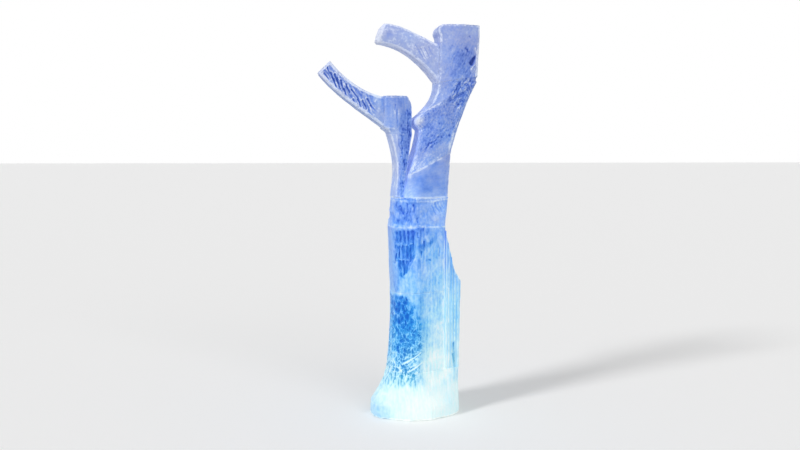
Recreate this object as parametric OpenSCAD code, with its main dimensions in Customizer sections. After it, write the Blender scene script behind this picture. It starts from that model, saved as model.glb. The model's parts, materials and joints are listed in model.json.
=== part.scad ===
// Carved ice tree column: sawn blocks of ice, frozen together and cut into a forked trunk.
// The origin is on the floor, under the middle of the trunk. X is to the right, Y is to the back.

/* [Foot block] */
// Width of the foot on the floor
foot_w = 576; // [520:2:640]
// Depth of the foot's right and left ends
foot_side_d = 200; // [120:5:260]
// Depth of the foot on the floor, along its keels, before they are cut back
foot_d = 500; // [440:5:600]
// How far the keels are cut back on the floor, so that the foot is nearly round
foot_round = 150; // [60:5:180]
// Height of the foot block
foot_h = 300; // [220:5:380]
// Height of the upright toe under the flare
toe_h = 85; // [40:5:130]

/* [Trunk] */
// Width of the trunk on the foot, without the side slab
trunk_w = 340; // [300:5:380]
// Depth of the trunk on the foot, along its keels
trunk_d = 400; // [340:5:430]
// Depth of the trunk's right and left faces
side_d = 220; // [180:5:260]
// Height of the lower trunk block
base_h = 500; // [400:10:650]
// Height of the middle trunk block
middle_h = 410; // [300:5:500]
// Height of the collar block
collar_h = 185; // [120:5:260]
// Depth of the trunk at the top of the collar, along its keels
collar_d = 350; // [320:5:400]
// How far left of the middle the keels stand
keel_left = 35; // [0:5:60]
// How far the left side stands out at the foot
base_out = 16; // [0:1:30]
// How far the left side is hewn in at the top of the lower block
waist_in = 8; // [0:1:30]
// How far the left side stands out again under the collar
brow_out = 6; // [0:1:20]
// How far the left side is hewn in at the top of the collar
collar_in = 14; // [0:1:50]
// How far the collar leans out on the right at its top
collar_lean = 20; // [0:1:40]
// How far the hewn corners of the trunk are cut back
trunk_corner = 55; // [30:5:80]
// How far the keels, the blunt edges down the front and back, are cut back
keel_corner = 35; // [15:5:60]
// How far the middle of a trunk block is hollowed or bellied by the adze
hewn_bow = 8; // [0:1:20]

/* [Side slab] */
// Width of the side slab at its shoulder
slab_w = 110; // [80:2:140]
// Depth of the side slab where it meets the trunk
slab_d = 226; // [180:2:250]
// How far the slab's outer edge is cut back, front and back
slab_taper = 44; // [0:2:60]
// How far the slab's shoulder stands out over its bottom
slab_out = 8; // [0:1:20]
// Height of the slab's upright side, above the foot
slab_side_h = 560; // [400:10:640]
// Height of the long bevel above the upright side
slab_bevel_h = 330; // [200:10:340]
// Width and height of the short slope at the shoulder
slab_step = 44; // [20:2:60]
// Number of flutes across the front
flute_n = 5; // [3:1:8]
// Depth of a flute
flute_deep = 7; // [3:1:10]

/* [Fork block] */
// Height of the fork block on its low side
fork_h = 130; // [90:1:200]
// Slope of the seam on top of the fork block, in degrees
fork_slope = 28; // [15:1:36]
// Width of the left stem where it stands on the collar
stem_w = 50; // [40:1:80]
// How far the right side of the fork block leans out
fork_lean = 14; // [0:1:40]

/* [Left stem] */
// Height of the left stem
stem_h = 390; // [300:5:480]
// Width of the stem at its top seam
stem_top_w = 142; // [110:1:170]
// Lean of the stem's inner side from upright, in degrees
stem_lean = 9.5; // [6:0.5:12]
// Depth of the stem at its top seam, along its keels
stem_d = 250; // [220:5:280]
// Height of the block on the stem
stem_head_h = 238; // [200:2:300]
// Width and height of the hollow corner of that block, under the left arm
arm_flare = 38; // [20:2:50]
// Height of the bevel at the inner top corner of that block
stem_head_bevel = 100; // [40:5:140]
// Width of that bevel
stem_head_in = 30; // [10:2:50]
// How much the outer side of the stem is hollowed
stem_hollow = 27; // [0:1:40]

/* [Left arm] */
// Reach of the left arm from the stem block to the middle of its sawn tip
left_reach = 364; // [310:1:420]
// Rise of the left arm from its root to its tip
left_rise = 274; // [220:2:330]
// Slope of the left arm where it leaves the stem block, in degrees
left_start = 26; // [15:1:34]
// Distance from the root to the bend of the left arm
left_bend = 270; // [220:5:290]
// Height of the left arm's root
left_root_h = 186; // [150:2:190]
// Thickness of the left arm at its tip
left_tip_h = 108; // [90:2:140]
// Depth of the left arm at its root
left_root_d = 190; // [140:5:190]
// How far the left arm's keels stand out
left_keel = 8; // [4:1:20]
// Depth of the left arm at its tip
left_tip_d = 130; // [90:5:160]
// Tilt of the sawn left tip from upright, in degrees
left_tip_tilt = 46; // [30:1:55]

/* [Right limb] */
// Opening of the fork, in degrees
fork_angle = 4; // [2:0.5:8]
// Length of the lower limb block along its inner side
lower_len = 400; // [330:5:470]
// Width of the limb at its middle seam, along the seam
limb_w = 415; // [370:5:450]
// Slope of the limb's middle seam, in degrees
limb_slope = 29; // [15:1:32]
// Depth of the limb at its middle seam, along its keels
limb_d = 280; // [240:5:320]
// How far the keels stand out on the limb, the stem and the head
keel_rise = 30; // [10:2:40]
// How much the outer side of the lower limb is hollowed
limb_hollow = 14; // [0:1:40]
// How much the inner side of the lower limb is hollowed
inner_hollow = 22; // [0:1:30]
// Height of the knuckle, where a branch was cut off at the limb's inner top corner
knuckle_h = 105; // [80:5:150]
// Gap between the knuckle and the left stem
knuckle_gap = 5; // [3:1:16]
// Height of the upper limb block along its inner side
upper_h = 190; // [160:5:240]
// How far the upper limb block leans to the right along its inner side
upper_lean = 111; // [60:1:130]
// How much the inner side of the upper limb is hollowed
upper_hollow = 28; // [0:2:40]
// Slope of the seam under the head, in degrees
head_slope = 10; // [6:1:14]

/* [Head] */
// Width of the head block at its lower seam
head_w = 258; // [240:2:300]
// Width of the head block at its flat top
head_top_w = 250; // [220:2:260]
// Height of the head block on its left side
head_h = 359; // [320:1:420]
// Depth of the head block, along its keels
head_d = 270; // [230:5:310]
// Height of the rounded shoulder at the top left of the head
shoulder = 70; // [30:2:90]
// How far the seat of the right arm leans in from upright
seat_in = 12; // [0:1:20]

/* [Right arm] */
// Reach of the right arm from the head to the middle of its sawn tip
right_reach = 355; // [290:1:400]
// Rise of the right arm from its root to its tip
right_rise = 180; // [130:2:220]
// Slope of the right arm where it leaves the head, in degrees
right_start = 41; // [25:1:50]
// Distance from the root to the bend of the right arm
right_bend = 270; // [200:1:300]
// Height of the right arm's root
right_root_h = 228; // [180:2:240]
// Thickness of the right arm at its tip
right_tip_h = 134; // [110:2:170]
// Depth of the right arm at its root
right_root_d = 204; // [150:2:208]
// How far the right arm's keels stand out
right_keel = 20; // [10:1:30]
// Depth of the right arm at its tip
right_tip_d = 125; // [100:5:165]
// Tilt of the sawn right tip from upright, in degrees
right_tip_tilt = 18; // [5:1:35]
// Size of the bevel at the upper corner of the right tip
tip_bevel = 38; // [20:2:60]

/* [Hidden] */

steps = 4;            // sides to a hewn corner
rows = 6;             // rings between two seams
slab_corner = 26;     // small corners, along the joints
limb_corner = 50;
arm_corner = 20;
seat_corner = 10;     // corners beside an arm's seat, so that the arm is flush
seat_land = 8;        // flat left round an arm's root

// Heights of the level seams
z_base = foot_h;
z_middle = z_base + base_h;
z_collar = z_middle + middle_h;
z_fork = z_collar + collar_h;

// The trunk's right face, flat where the slab is frozen to it
slab_x = trunk_w / 2;
slab_right = slab_x + slab_w;

// Every block has a six-sided section: a left face, a right face and a keel in front and behind.
// A ring is [left or lower edge, right or upper edge, half depths, corner cuts, keel's place].
// Edges are points in X and Z. Depths and cuts are those at the left, the keel and the right.
// The keel's place is its share of the width, from the left.
function ring(p, q, deep, cut, keel = 0.5) = [p, q, deep, cut, keel];
function keeled(half, rise) = [half - rise, half, half - rise];
function cuts(corner) = [corner, keel_corner, corner];
function mix(a, b, t) = a + (b - a) * t;
function along(p, angle, far) = p + far * [cos(angle), sin(angle)];
function span(s) = norm(s[1] - s[0]);

// A corner at p between neighbours a and b, cut back and softly rounded
function soft(a, p, b, cut) = let (far_a = norm(a - p), far_b = norm(b - p),
        c = min(cut, 0.45 * far_a, 0.45 * far_b),
        from = p + (a - p) * c / far_a, to = p + (b - p) * c / far_b)
    [for (i = [0:steps]) let (t = i / steps) bend_path(from, p, to, t)];
function bend_path(a, b, c, t) = (1 - t) * (1 - t) * a + 2 * t * (1 - t) * b + t * t * c;

// Section with its width along X and its depth along Y
function section(w, deep, cut, keel) = let (
        six = [[w, deep[2]], [w * keel, deep[1]], [0, deep[0]],
            [0, -deep[0]], [w * keel, -deep[1]], [w, -deep[2]]],
        back = [cut[2], cut[1], cut[0], cut[0], cut[1], cut[2]])
    [for (i = [0:5]) each soft(six[(i + 5) % 6], six[i], six[(i + 1) % 6], back[i])];

function ring_points(s) = let (dir = (s[1] - s[0]) / span(s))
    [for (c = section(span(s), s[2], s[3], s[4]))
        [s[0].x + c.x * dir.x, c.y, s[0].y + c.x * dir.y]];

// Ring at share t between two seams. The bows push its left, its right and its depth outwards.
function between(a, b, t, bow) = let (k = sin(180 * t)) ring(
    mix(a[0], b[0], t) - [bow[0] * k, 0],
    mix(a[1], b[1], t) + [bow[1] * k, 0],
    mix(a[2], b[2], t) + bow[2] * k * [1, 1, 1],
    mix(a[3], b[3], t),
    mix(a[4], b[4], t));

// Solid skin over a list of rings, with flat sawn ends
module skin(rings) {
    side = 6 * (steps + 1);
    last = len(rings) - 1;
    points = [for (s = rings) each ring_points(s)];
    walls = [for (k = [0:last - 1], i = [0:side - 1])
        let (j = (i + 1) % side, a = k * side + i, b = k * side + j, c = a + side, d = b + side)
        each [[a, c, b], [b, c, d]]];
    ends = [[for (i = [0:side - 1]) i], [for (i = [side - 1:-1:0]) last * side + i]];
    polyhedron(points, concat(walls, ends));
}

module block(a, b, bow) skin([for (k = [0:rows]) between(a, b, k / rows, bow)]);

// Ring of an arm that leaves a seat, bends once and ends in a tilted saw cut
function arm_ring(seat, end, bend, tip_h, tip_tilt, tip_deep, t) =
    let (root_tilt = 90 - atan2(seat[1].y - seat[0].y, seat[1].x - seat[0].x),
        mid = bend_path((seat[0] + seat[1]) / 2, bend, end, t),
        up = 90 - mix(root_tilt, tip_tilt, t),
        high = mix(tip_h, span(seat), pow(1 - t, 4)))
    ring(along(mid, up, -high / 2), along(mid, up, high / 2),
        mix(seat[2], tip_deep, t), mix(seat[3], cuts(arm_corner), t));

// Level seams of the trunk
trunk_cuts = [trunk_corner, keel_corner, slab_corner];
function trunk_ring(left, right, z, deep) = ring([left, z], [right, z], [side_d, deep, side_d] / 2,
    trunk_cuts, (-keel_left - left) / (right - left));
base_ring = trunk_ring(-base_out - slab_x, slab_x, z_base, trunk_d);
middle_ring = trunk_ring(waist_in - slab_x, slab_x, z_middle, (trunk_d + collar_d) / 2);
collar_low = trunk_ring(-brow_out - slab_x, slab_x, z_collar, collar_d);
collar_top = trunk_ring(collar_in - slab_x, slab_x + collar_lean, z_fork, collar_d);

// The upright joint between the left stem and the fork block, on the line of the stem's inner side
joint_low = collar_top[0] + [stem_w, 0];
joint_top = joint_low + fork_h * [tan(stem_lean), 1];
joint_half = mix(side_d, collar_d, stem_w / (slab_x - collar_in - keel_left)) / 2;
fork_w = collar_top[1].x + fork_lean - joint_top.x;
fork_low = ring(joint_low, collar_top[1], [joint_half, collar_d / 2, side_d / 2],
    [slab_corner, keel_corner, trunk_corner], (-keel_left - joint_low.x) / (collar_top[1].x - joint_low.x));
fork_top = ring(joint_top, joint_top + fork_w * [1, tan(fork_slope)],
    keeled((collar_d + limb_d) / 4, keel_rise), cuts(limb_corner), 0.4);

stem_low = ring(collar_top[0], joint_low, [side_d, (side_d + joint_half * 2) / 2, joint_half * 2] / 2,
    [trunk_corner, keel_corner, slab_corner]);
stem_top_in = joint_low + stem_h * [tan(stem_lean), 1];
stem_top = ring(stem_top_in - [stem_top_w, 0], stem_top_in, keeled(stem_d / 2, keel_rise),
    [seat_corner, keel_corner, slab_corner], 0.4);
function stem_head_ring(out, in, rise) = ring(stem_top[0] + [-out, rise], stem_top[1] + [-in, rise],
    stem_top[2], stem_top[3], 0.4);
stem_head_low = stem_head_ring(arm_flare, 0, arm_flare);
stem_head_mid = stem_head_ring(arm_flare, 0, stem_head_h - stem_head_bevel);
stem_head_top = stem_head_ring(arm_flare, stem_head_in, stem_head_h);

// The limb's inner side opens from the stem by the fork's angle
limb_in = along(joint_top, 90 - stem_lean - fork_angle, lower_len);
limb_ring = ring(limb_in, along(limb_in, limb_slope, limb_w), keeled(limb_d / 2, keel_rise),
    cuts(limb_corner), 0.4);
head_in = limb_in + [upper_lean, upper_h];
head_deep = keeled(head_d / 2, keel_rise);
head_cuts = [seat_corner, keel_corner, slab_corner];
head_low = ring(head_in, along(head_in, head_slope, head_w), head_deep, head_cuts, 0.45);
head_z = head_in.y + head_h;
head_right = head_low[1].x + seat_in;
seat_top = head_in + (head_h - shoulder) * [seat_in / head_h, 1];
head_mid = ring(seat_top, [head_right, head_z - shoulder], head_deep, head_cuts, 0.45);
head_top = ring([head_right - head_top_w, head_z], [head_right, head_z], head_deep, head_cuts, 0.45);

// Seats of the arms on the blocks that carry them
function seat_at(face_low, face_top, high, deep) =
    let (up = (face_top - face_low) / norm(face_top - face_low))
    ring(face_low + up * seat_land, face_low + up * (seat_land + high), deep, cuts(seat_corner));
left_seat = seat_at(stem_head_low[0], stem_head_top[0], left_root_h, keeled(left_root_d / 2, left_keel));
right_seat = seat_at(head_in, seat_top, right_root_h, keeled(right_root_d / 2, right_keel / 2));

// Round footprint that runs up in a hollow flare to the section of the trunk and the slab
module foot_block() {
    left = slab_right - foot_w;
    low_deep = [foot_side_d, foot_d, foot_side_d] / 2;
    top_deep = [side_d, trunk_d, slab_d - slab_taper * 2] / 2;
    function level(out, z) = ring([mix(base_ring[0].x, left, out), z],
        [mix(slab_right - slab_out, slab_right, out), z], mix(top_deep, low_deep, out),
        mix(trunk_cuts, [foot_side_d, foot_round, foot_side_d], out), mix(0.33, 0.5, out));
    color("lightcyan") skin(concat([level(1, 0)],
        [for (k = [0:rows]) let (t = k / rows) level(pow(1 - t, 1.3), mix(toe_h, foot_h, t))]));
}

module trunk_base() color("lightskyblue") block(base_ring, middle_ring, [-hewn_bow, 0, -hewn_bow]);

module trunk_middle() color("lightblue") block(middle_ring, collar_low, [0, 0, 0]);

module trunk_collar() color("powderblue") block(collar_low, collar_top, [0, 0, 0]);

// Slab with scalloped flutes on its front and back, a short slope and a long bevel on top
module side_slab() {
    top = slab_side_h + slab_bevel_h;
    last = flute_n * steps * 2;
    edge = [for (i = [0:last]) [slab_w * i / last,
        slab_d / 2 - slab_taper * i / last - flute_deep * sin(180 * (i % (steps * 2)) / steps / 2)]];
    color("paleturquoise") translate([slab_x, 0, z_base]) intersection() {
        linear_extrude(top)
            polygon(concat([for (i = [0:last]) [edge[i].x, -edge[i].y]], [for (i = [last:-1:0]) edge[i]]));
        rotate([90, 0, 0]) linear_extrude(slab_d, center = true)
            polygon([[0, 0], [slab_w - slab_out, 0], [slab_w, slab_side_h],
                [slab_w - slab_step, slab_side_h + slab_step * 1.5], [0, top]]);
    }
}

module fork_block() color("lavender") block(fork_low, fork_top, [0, 0, 0]);

module left_stem() color("lightsteelblue") block(stem_low, stem_top, [-stem_hollow, 0, 0]);

module left_stem_head() color("lavender")
    skin([for (k = [0:rows]) between(stem_top, stem_head_low, k / rows, [-arm_flare / 4, 0, 0]),
        for (k = [0:rows]) between(stem_head_mid, stem_head_top, k / rows, [0, stem_head_in / 3, 0])]);

module left_arm() {
    root = (left_seat[0] + left_seat[1]) / 2;
    color("lightsteelblue") skin([for (k = [0:rows * 2]) arm_ring(left_seat,
        root + [-left_reach, left_rise], along(root, 180 - left_start, left_bend),
        left_tip_h, left_tip_tilt, keeled(left_tip_d / 2, left_keel), k / rows / 2)]);
}

// Lower block of the limb. Its inner top corner swells into the knuckle, which stops short of the stem.
module right_limb_lower() {
    share = knuckle_h / lower_len;
    function plain(t) = between(fork_top, limb_ring, t, [-inner_hollow, -limb_hollow, 0]);
    reach = max(0, plain(1 - share / 2)[0].x - stem_top_in.x - knuckle_gap);
    function swell(t) = reach * sin(180 * max(0, (t - 1 + share) / share));
    bark = [for (k = [0:rows]) k * (1 - share) / rows];
    knuckle = [for (k = [1:rows * 2]) 1 - share + share * k / rows / 2];
    color("lightsteelblue") skin([for (t = concat(bark, knuckle)) let (s = plain(t))
        ring(s[0] - [swell(t), 0], s[1], s[2], s[3], s[4])]);
}

module right_limb_upper() color("lightskyblue")
    block(limb_ring, head_low, [-upper_hollow, -hewn_bow, 0]);

module right_head() color("aliceblue") skin(concat(
    [head_low],
    [for (k = [0:rows]) between(head_mid, head_top, k / rows, [shoulder / 5, 0, 0])]));

// The upper corner of this arm's sawn tip is bevelled
module right_arm() {
    root = (right_seat[0] + right_seat[1]) / 2;
    rings = [for (k = [0:rows * 2]) arm_ring(right_seat,
        root + [-right_reach, right_rise], along(root, 180 - right_start, right_bend),
        right_tip_h, right_tip_tilt, keeled(right_tip_d / 2, right_keel), k / rows / 2)];
    tip = rings[rows * 2];
    up = (tip[1] - tip[0]) / span(tip);
    out = [-up.y, up.x];
    color("aliceblue") skin(concat(rings,
        [ring(tip[0] + tip_bevel * (up * 0.2 + out * 0.5), tip[1] - tip_bevel * (up - out * 0.5),
            tip[2] - [1, 1, 1] * tip_bevel / 3, cuts(arm_corner))]));
}

foot_block();
trunk_base();
trunk_middle();
trunk_collar();
side_slab();
fork_block();
left_stem();
left_stem_head();
left_arm();
right_limb_lower();
right_limb_upper();
right_head();
right_arm();
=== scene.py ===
# %% [markdown]
# # A carved ice tree
# The object is a free-standing column of sawn ice blocks, frozen together and then cut with a saw,
# a chisel and an adze into a forked tree. Each block keeps its own look: some are pitted, some are
# smooth and frosted, and one is fluted. The lowest blocks are lit from below and glow from inside.
# The tree could be sculpted from nothing. Here the solids come from the CAD model, so that they fix
# every size, and Blender adds only the carving and the ice.

# %% Load the solids
import json
import math
from collections import namedtuple
import bpy
import numpy as np
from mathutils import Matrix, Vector, noise
from mathutils.bvhtree import BVHTree

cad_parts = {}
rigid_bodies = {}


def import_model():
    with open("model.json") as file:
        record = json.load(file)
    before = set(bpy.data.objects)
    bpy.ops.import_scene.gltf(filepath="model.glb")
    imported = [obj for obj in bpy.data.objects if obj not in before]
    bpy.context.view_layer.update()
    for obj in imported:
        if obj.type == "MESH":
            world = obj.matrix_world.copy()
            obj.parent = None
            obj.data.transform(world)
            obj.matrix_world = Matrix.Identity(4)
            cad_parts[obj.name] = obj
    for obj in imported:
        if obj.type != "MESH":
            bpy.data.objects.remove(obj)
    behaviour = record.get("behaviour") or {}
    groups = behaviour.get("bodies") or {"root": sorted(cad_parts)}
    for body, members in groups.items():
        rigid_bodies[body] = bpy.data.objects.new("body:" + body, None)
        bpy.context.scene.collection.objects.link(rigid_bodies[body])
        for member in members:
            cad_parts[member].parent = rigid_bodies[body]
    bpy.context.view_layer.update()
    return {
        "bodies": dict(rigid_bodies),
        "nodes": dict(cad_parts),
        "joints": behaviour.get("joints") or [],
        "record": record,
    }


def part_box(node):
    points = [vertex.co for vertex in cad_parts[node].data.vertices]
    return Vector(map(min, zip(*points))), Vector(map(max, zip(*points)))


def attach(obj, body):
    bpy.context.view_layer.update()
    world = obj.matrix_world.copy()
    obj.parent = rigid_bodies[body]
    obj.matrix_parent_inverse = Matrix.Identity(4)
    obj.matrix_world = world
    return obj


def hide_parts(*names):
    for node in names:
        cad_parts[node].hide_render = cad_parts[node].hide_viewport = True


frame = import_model()

# %% [markdown]
# ## The camera
# The tree was seen from standing eye height, five metres away and a metre to its left, so a little of
# every block's left side shows. A camera could look straight ahead and be cropped, or be turned to the
# tree. Turning it keeps the same faces in view and fills the frame with the tree.

# %% Place the camera
EYE = Vector((-1.0, -5.2, 1.65))
AIM = Vector((-0.105, 0.0, 1.215))
LENS = 37.5

camera_data = bpy.data.cameras.new("eye")
camera_data.lens = LENS
camera = bpy.data.objects.new("eye", camera_data)
camera.location = EYE
camera.rotation_euler = (AIM - EYE).to_track_quat("-Z", "Y").to_euler()
bpy.context.collection.objects.link(camera)
bpy.context.scene.camera = camera
print("camera turned", round(math.degrees(camera.rotation_euler.z), 1), "degrees")

# %% [markdown]
# ## Floor, lamps and world
# Ice has hardly any colour of its own: it shows what light does on its ridges and in its pits. One
# large soft lamp from the upper left rakes over the carving, a weaker one fills the front, and a pale
# world does the rest. Lamps that stand near would light one end of the tree more than the other, so
# both are suns. The world is plain white only to the camera and to rays that are mirrored or
# refracted, so the ice mirrors white surroundings but isn't flooded with light.

# %% Make the floor
def new_material(name):
    """An empty node material. It returns the material, its nodes and its links."""
    material = bpy.data.materials.new(name)
    material.use_nodes = True
    tree = material.node_tree
    tree.nodes.clear()
    return material, tree.nodes, tree.links


FLOOR_SIZE = 400.0
FLOOR_SHADE = 0.72
FLOOR_SEEN = 0.95
FLOOR_ROUGH = 0.9
FLOOR_SHINE = 0.1

floor_mesh = bpy.data.meshes.new("floor")
half = FLOOR_SIZE / 2
corners = [(-half, -half, 0), (half, -half, 0), (half, half, 0), (-half, half, 0)]
floor_mesh.from_pydata(corners, [], [(0, 1, 2, 3)])
floor = bpy.data.objects.new("floor", floor_mesh)
bpy.context.collection.objects.link(floor)
floor_material, nodes, links = new_material("pale floor")
path = nodes.new("ShaderNodeLightPath")
shade = nodes.new("ShaderNodeMapRange")
shade.inputs["To Min"].default_value = FLOOR_SHADE
shade.inputs["To Max"].default_value = FLOOR_SEEN
shader = nodes.new("ShaderNodeBsdfPrincipled")
shader.inputs["Roughness"].default_value = FLOOR_ROUGH
shader.inputs["Specular IOR Level"].default_value = FLOOR_SHINE
output = nodes.new("ShaderNodeOutputMaterial")
links.new(path.outputs["Is Camera Ray"], shade.inputs["Value"])
links.new(shade.outputs["Result"], shader.inputs["Base Color"])
links.new(shader.outputs["BSDF"], output.inputs["Surface"])
floor_mesh.materials.append(floor_material)
print("floor", FLOOR_SIZE, "m wide")

# %% Hang the lamps
def lamp(name, come_from, strength, spread):
    """A sun whose light comes from the direction given, towards the tree. Spread is in degrees."""
    data = bpy.data.lights.new(name, "SUN")
    data.energy = strength
    data.angle = math.radians(spread)
    made = bpy.data.objects.new(name, data)
    made.rotation_euler = Vector(come_from).to_track_quat("Z", "Y").to_euler()
    bpy.context.collection.objects.link(made)
    return made


lamp("key", (-0.80, -0.42, 0.62), 1.4, 12)
lamp("fill", (0.30, -0.90, 0.40), 0.75, 40)

# %% Paint the world
WORLD_LIGHT = 0.52

world = bpy.data.worlds.new("pale room")
bpy.context.scene.world = world
world.use_nodes = True
nodes, links = world.node_tree.nodes, world.node_tree.links
nodes.clear()
path = nodes.new("ShaderNodeLightPath")
seen = nodes.new("ShaderNodeMath")
seen.operation = "MAXIMUM"
through_ice = nodes.new("ShaderNodeMath")
through_ice.operation = "MAXIMUM"
strength = nodes.new("ShaderNodeMapRange")
strength.inputs["To Min"].default_value = WORLD_LIGHT
strength.inputs["To Max"].default_value = 1.0
background = nodes.new("ShaderNodeBackground")
background.inputs["Color"].default_value = (1, 1, 1, 1)
output = nodes.new("ShaderNodeOutputWorld")
links.new(path.outputs["Is Camera Ray"], seen.inputs[0])
links.new(path.outputs["Is Glossy Ray"], seen.inputs[1])
links.new(seen.outputs[0], through_ice.inputs[0])
links.new(path.outputs["Is Transmission Ray"], through_ice.inputs[1])
links.new(through_ice.outputs[0], strength.inputs["Value"])
links.new(strength.outputs["Result"], background.inputs["Strength"])
links.new(background.outputs["Background"], output.inputs["Surface"])
bpy.context.scene.view_settings.view_transform = "Standard"
print("world light", WORLD_LIGHT)

# %% [markdown]
# ## Blanks
# A carver starts from a sawn block, and so does this script. Each CAD solid is copied and remeshed into
# a fine even net. A voxel remesh would round every edge, and neighbouring blocks would then show a
# groove where they meet, so the sharp kind is used: it keeps the arrises, and the blocks meet flush.

# %% Make a blank from a solid
# NET is the width of a cell in metres, and GRID_SHARE the most of the remesh grid that a block fills.
MM = 1000
NET = 0.0038
GRID_SHARE = 0.99


def blank(node):
    """A copy of a CAD solid with a fine even net over it and its arrises kept, as a new object."""
    raw = bpy.data.objects.new(node + "_raw", frame["nodes"][node].data.copy())
    bpy.context.collection.objects.link(raw)
    low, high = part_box(node)
    longest = max(high[k] - low[k] for k in range(3))
    remesh = raw.modifiers.new("net", "REMESH")
    remesh.mode = "SHARP"
    remesh.octree_depth = math.ceil(math.log2(longest / (GRID_SHARE * NET)))
    remesh.scale = longest / (NET * 2 ** remesh.octree_depth)
    made = raw.evaluated_get(bpy.context.evaluated_depsgraph_get())
    mesh = bpy.data.meshes.new_from_object(made)
    mesh.name = node + "_ice"
    bpy.data.objects.remove(raw)
    piece = bpy.data.objects.new("ice_" + node, mesh)
    bpy.context.collection.objects.link(piece)
    return piece


def read(items, label, width, kind=float):
    """One array of a mesh's own values, such as its vertex places, with width numbers to a row."""
    values = np.empty(len(items) * width, dtype=kind)
    items.foreach_get(label, values)
    return values.reshape(-1, width) if width > 1 else values


print("net of", NET * MM, "mm over each block")

# %% [markdown]
# ## Seams
# Where two blocks meet, water was poured in and froze. Most of these joints were carved over and can't
# be seen, so there the blocks must meet without a step. A few show as a pale line of hoar frost. These
# lines could be drawn by hand, but the distance to the neighbours' solids finds every joint just where
# it is, on the sides and the back too. The table says which joints show, and up to which x in metres.

# %% Measure the way to the neighbours
NO_SEAM, WHOLE_SEAM = -1.0, 1.0
SHOWN_SEAMS = {
    ("trunk_middle", "trunk_collar"): WHOLE_SEAM,
    ("trunk_collar", "fork_block"): WHOLE_SEAM,
    ("trunk_collar", "left_stem"): WHOLE_SEAM,
    ("fork_block", "right_limb_lower"): WHOLE_SEAM,
    ("right_limb_lower", "right_limb_upper"): 0.13,
}
FAR = 0.06

solids = {}
for name, obj in frame["nodes"].items():
    mesh = obj.data
    mesh.calc_loop_triangles()
    solids[name] = BVHTree.FromPolygons([v.co for v in mesh.vertices],
        [tuple(t.vertices) for t in mesh.loop_triangles])


def seam_distance(node, points):
    """Distance from each point to the nearest other solid, and to the nearest one with a shown seam."""
    low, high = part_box(node)
    any_seam = np.full(len(points), FAR)
    shown = np.full(len(points), FAR)
    for other, tree in solids.items():
        o_low, o_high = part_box(other)
        if other == node or any(o_low[k] > high[k] + FAR or o_high[k] < low[k] - FAR for k in range(3)):
            continue
        shown_to = max(SHOWN_SEAMS.get(pair, NO_SEAM) for pair in ((node, other), (other, node)))
        close = np.all((points > np.array(o_low) - FAR) & (points < np.array(o_high) + FAR), axis=1)
        for k in np.nonzero(close)[0]:
            gap = tree.find_nearest(points[k], FAR)[3]
            if gap is not None:
                any_seam[k] = min(any_seam[k], gap)
                if points[k][0] < shown_to:
                    shown[k] = min(shown[k], gap)
    return any_seam, shown


print("solids to measure against:", len(solids))

# %% [markdown]
# ## What is outside
# A cut must go straight into the face that is seen. At a joint, a plain vertex normal would lean towards
# the hidden face and open the joint. Joining the blocks into one mesh would avoid this, but each has to
# stay a piece of its own. So the faces that lie on a joint are told apart from the outer ones, and each
# vertex takes its normal from the outer faces only. A face is hidden when a point just in front of it
# is inside a neighbour.

# %% Normals of the outer faces
NEAR_JOINT = 0.005
IN_FRONT = 0.0015


def hidden_faces(node, mesh, seam, spots, starts):
    """Which faces of a block lie against a neighbour."""
    close = np.minimum.reduceat(seam[spots], starts) < NEAR_JOINT
    facing = read(mesh.polygons, "normal", 3)
    tests = read(mesh.polygons, "center", 3) + facing * IN_FRONT
    hidden = np.zeros(len(starts), dtype=bool)
    for other, tree in solids.items():
        if other == node:
            continue
        for k in np.nonzero(close & ~hidden)[0]:
            place, normal = tree.find_nearest(tests[k], NEAR_JOINT)[:2]
            if place is not None:
                hidden[k] = (Vector(tests[k]) - place).dot(normal) < 0
    return hidden


def outer_normals(node, mesh, seam):
    """Which vertices are outside, their outward normals, the joint normals, and the faces on a joint."""
    spots = read(mesh.loops, "vertex_index", 1, np.int32)
    starts = read(mesh.polygons, "loop_start", 1, np.int32)
    sizes = read(mesh.polygons, "loop_total", 1, np.int32)
    weight = read(mesh.polygons, "area", 1)[:, None] * read(mesh.polygons, "normal", 3)
    hidden = hidden_faces(node, mesh, seam, spots, starts)
    owner = np.repeat(np.arange(len(starts)), sizes)
    count = len(mesh.vertices)
    sums = []
    for chosen in (~hidden, hidden):
        used = chosen[owner]
        total = np.stack([np.bincount(spots[used], weight[owner[used], k], count) for k in range(3)], 1)
        length = np.linalg.norm(total, axis=1, keepdims=True)
        sums.append(np.divide(total, length, out=np.zeros_like(total), where=length > 0))
    outside = np.abs(sums[0]).sum(axis=1) > 0
    return outside, sums[0], sums[1], hidden


def soften(values, ends, share, rounds):
    """Moves each vertex's values by its share of the way to its neighbours' mean, again and again."""
    count = np.bincount(ends.ravel(), minlength=len(values))[:, None]
    share = np.where(count == 0, 0, share[:, None])
    for _ in range(rounds):
        total = np.stack([np.bincount(ends[:, 0], column[ends[:, 1]], len(values))
            + np.bincount(ends[:, 1], column[ends[:, 0]], len(values)) for column in values.T], 1)
        values = values + share * (total / np.maximum(count, 1) - values)
    return values


print("a face is hidden when a neighbour is within", NEAR_JOINT * MM, "mm and covers it")

# %% [markdown]
# ## Fields that carve
# A tool mark is a pattern over the surface. It could be sculpted with a brush, or come from a bump in
# the material. A brush can't be written down, and a bump has no depth that shows at the outline, so
# here a pattern is worked out at each vertex and the vertex is moved. A few kinds are enough for this
# ice. Noise gives slow lumps and fine grain. Cells, from Voronoi noise, give scoops with sharp ridges
# between them, as an adze or a melting surface leaves. Strokes are single cuts of a saw or chisel.
# The noise that bends patterns starts from the clock unless it is given a seed.

# %% Noise and cells
NOISE_SEED = 5
NOISE_GAIN = 1.6
SCATTER = np.array((12.9898, 78.233, 37.719))
SCATTER_GAIN = 437.585
noise.seed_set(NOISE_SEED)


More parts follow.
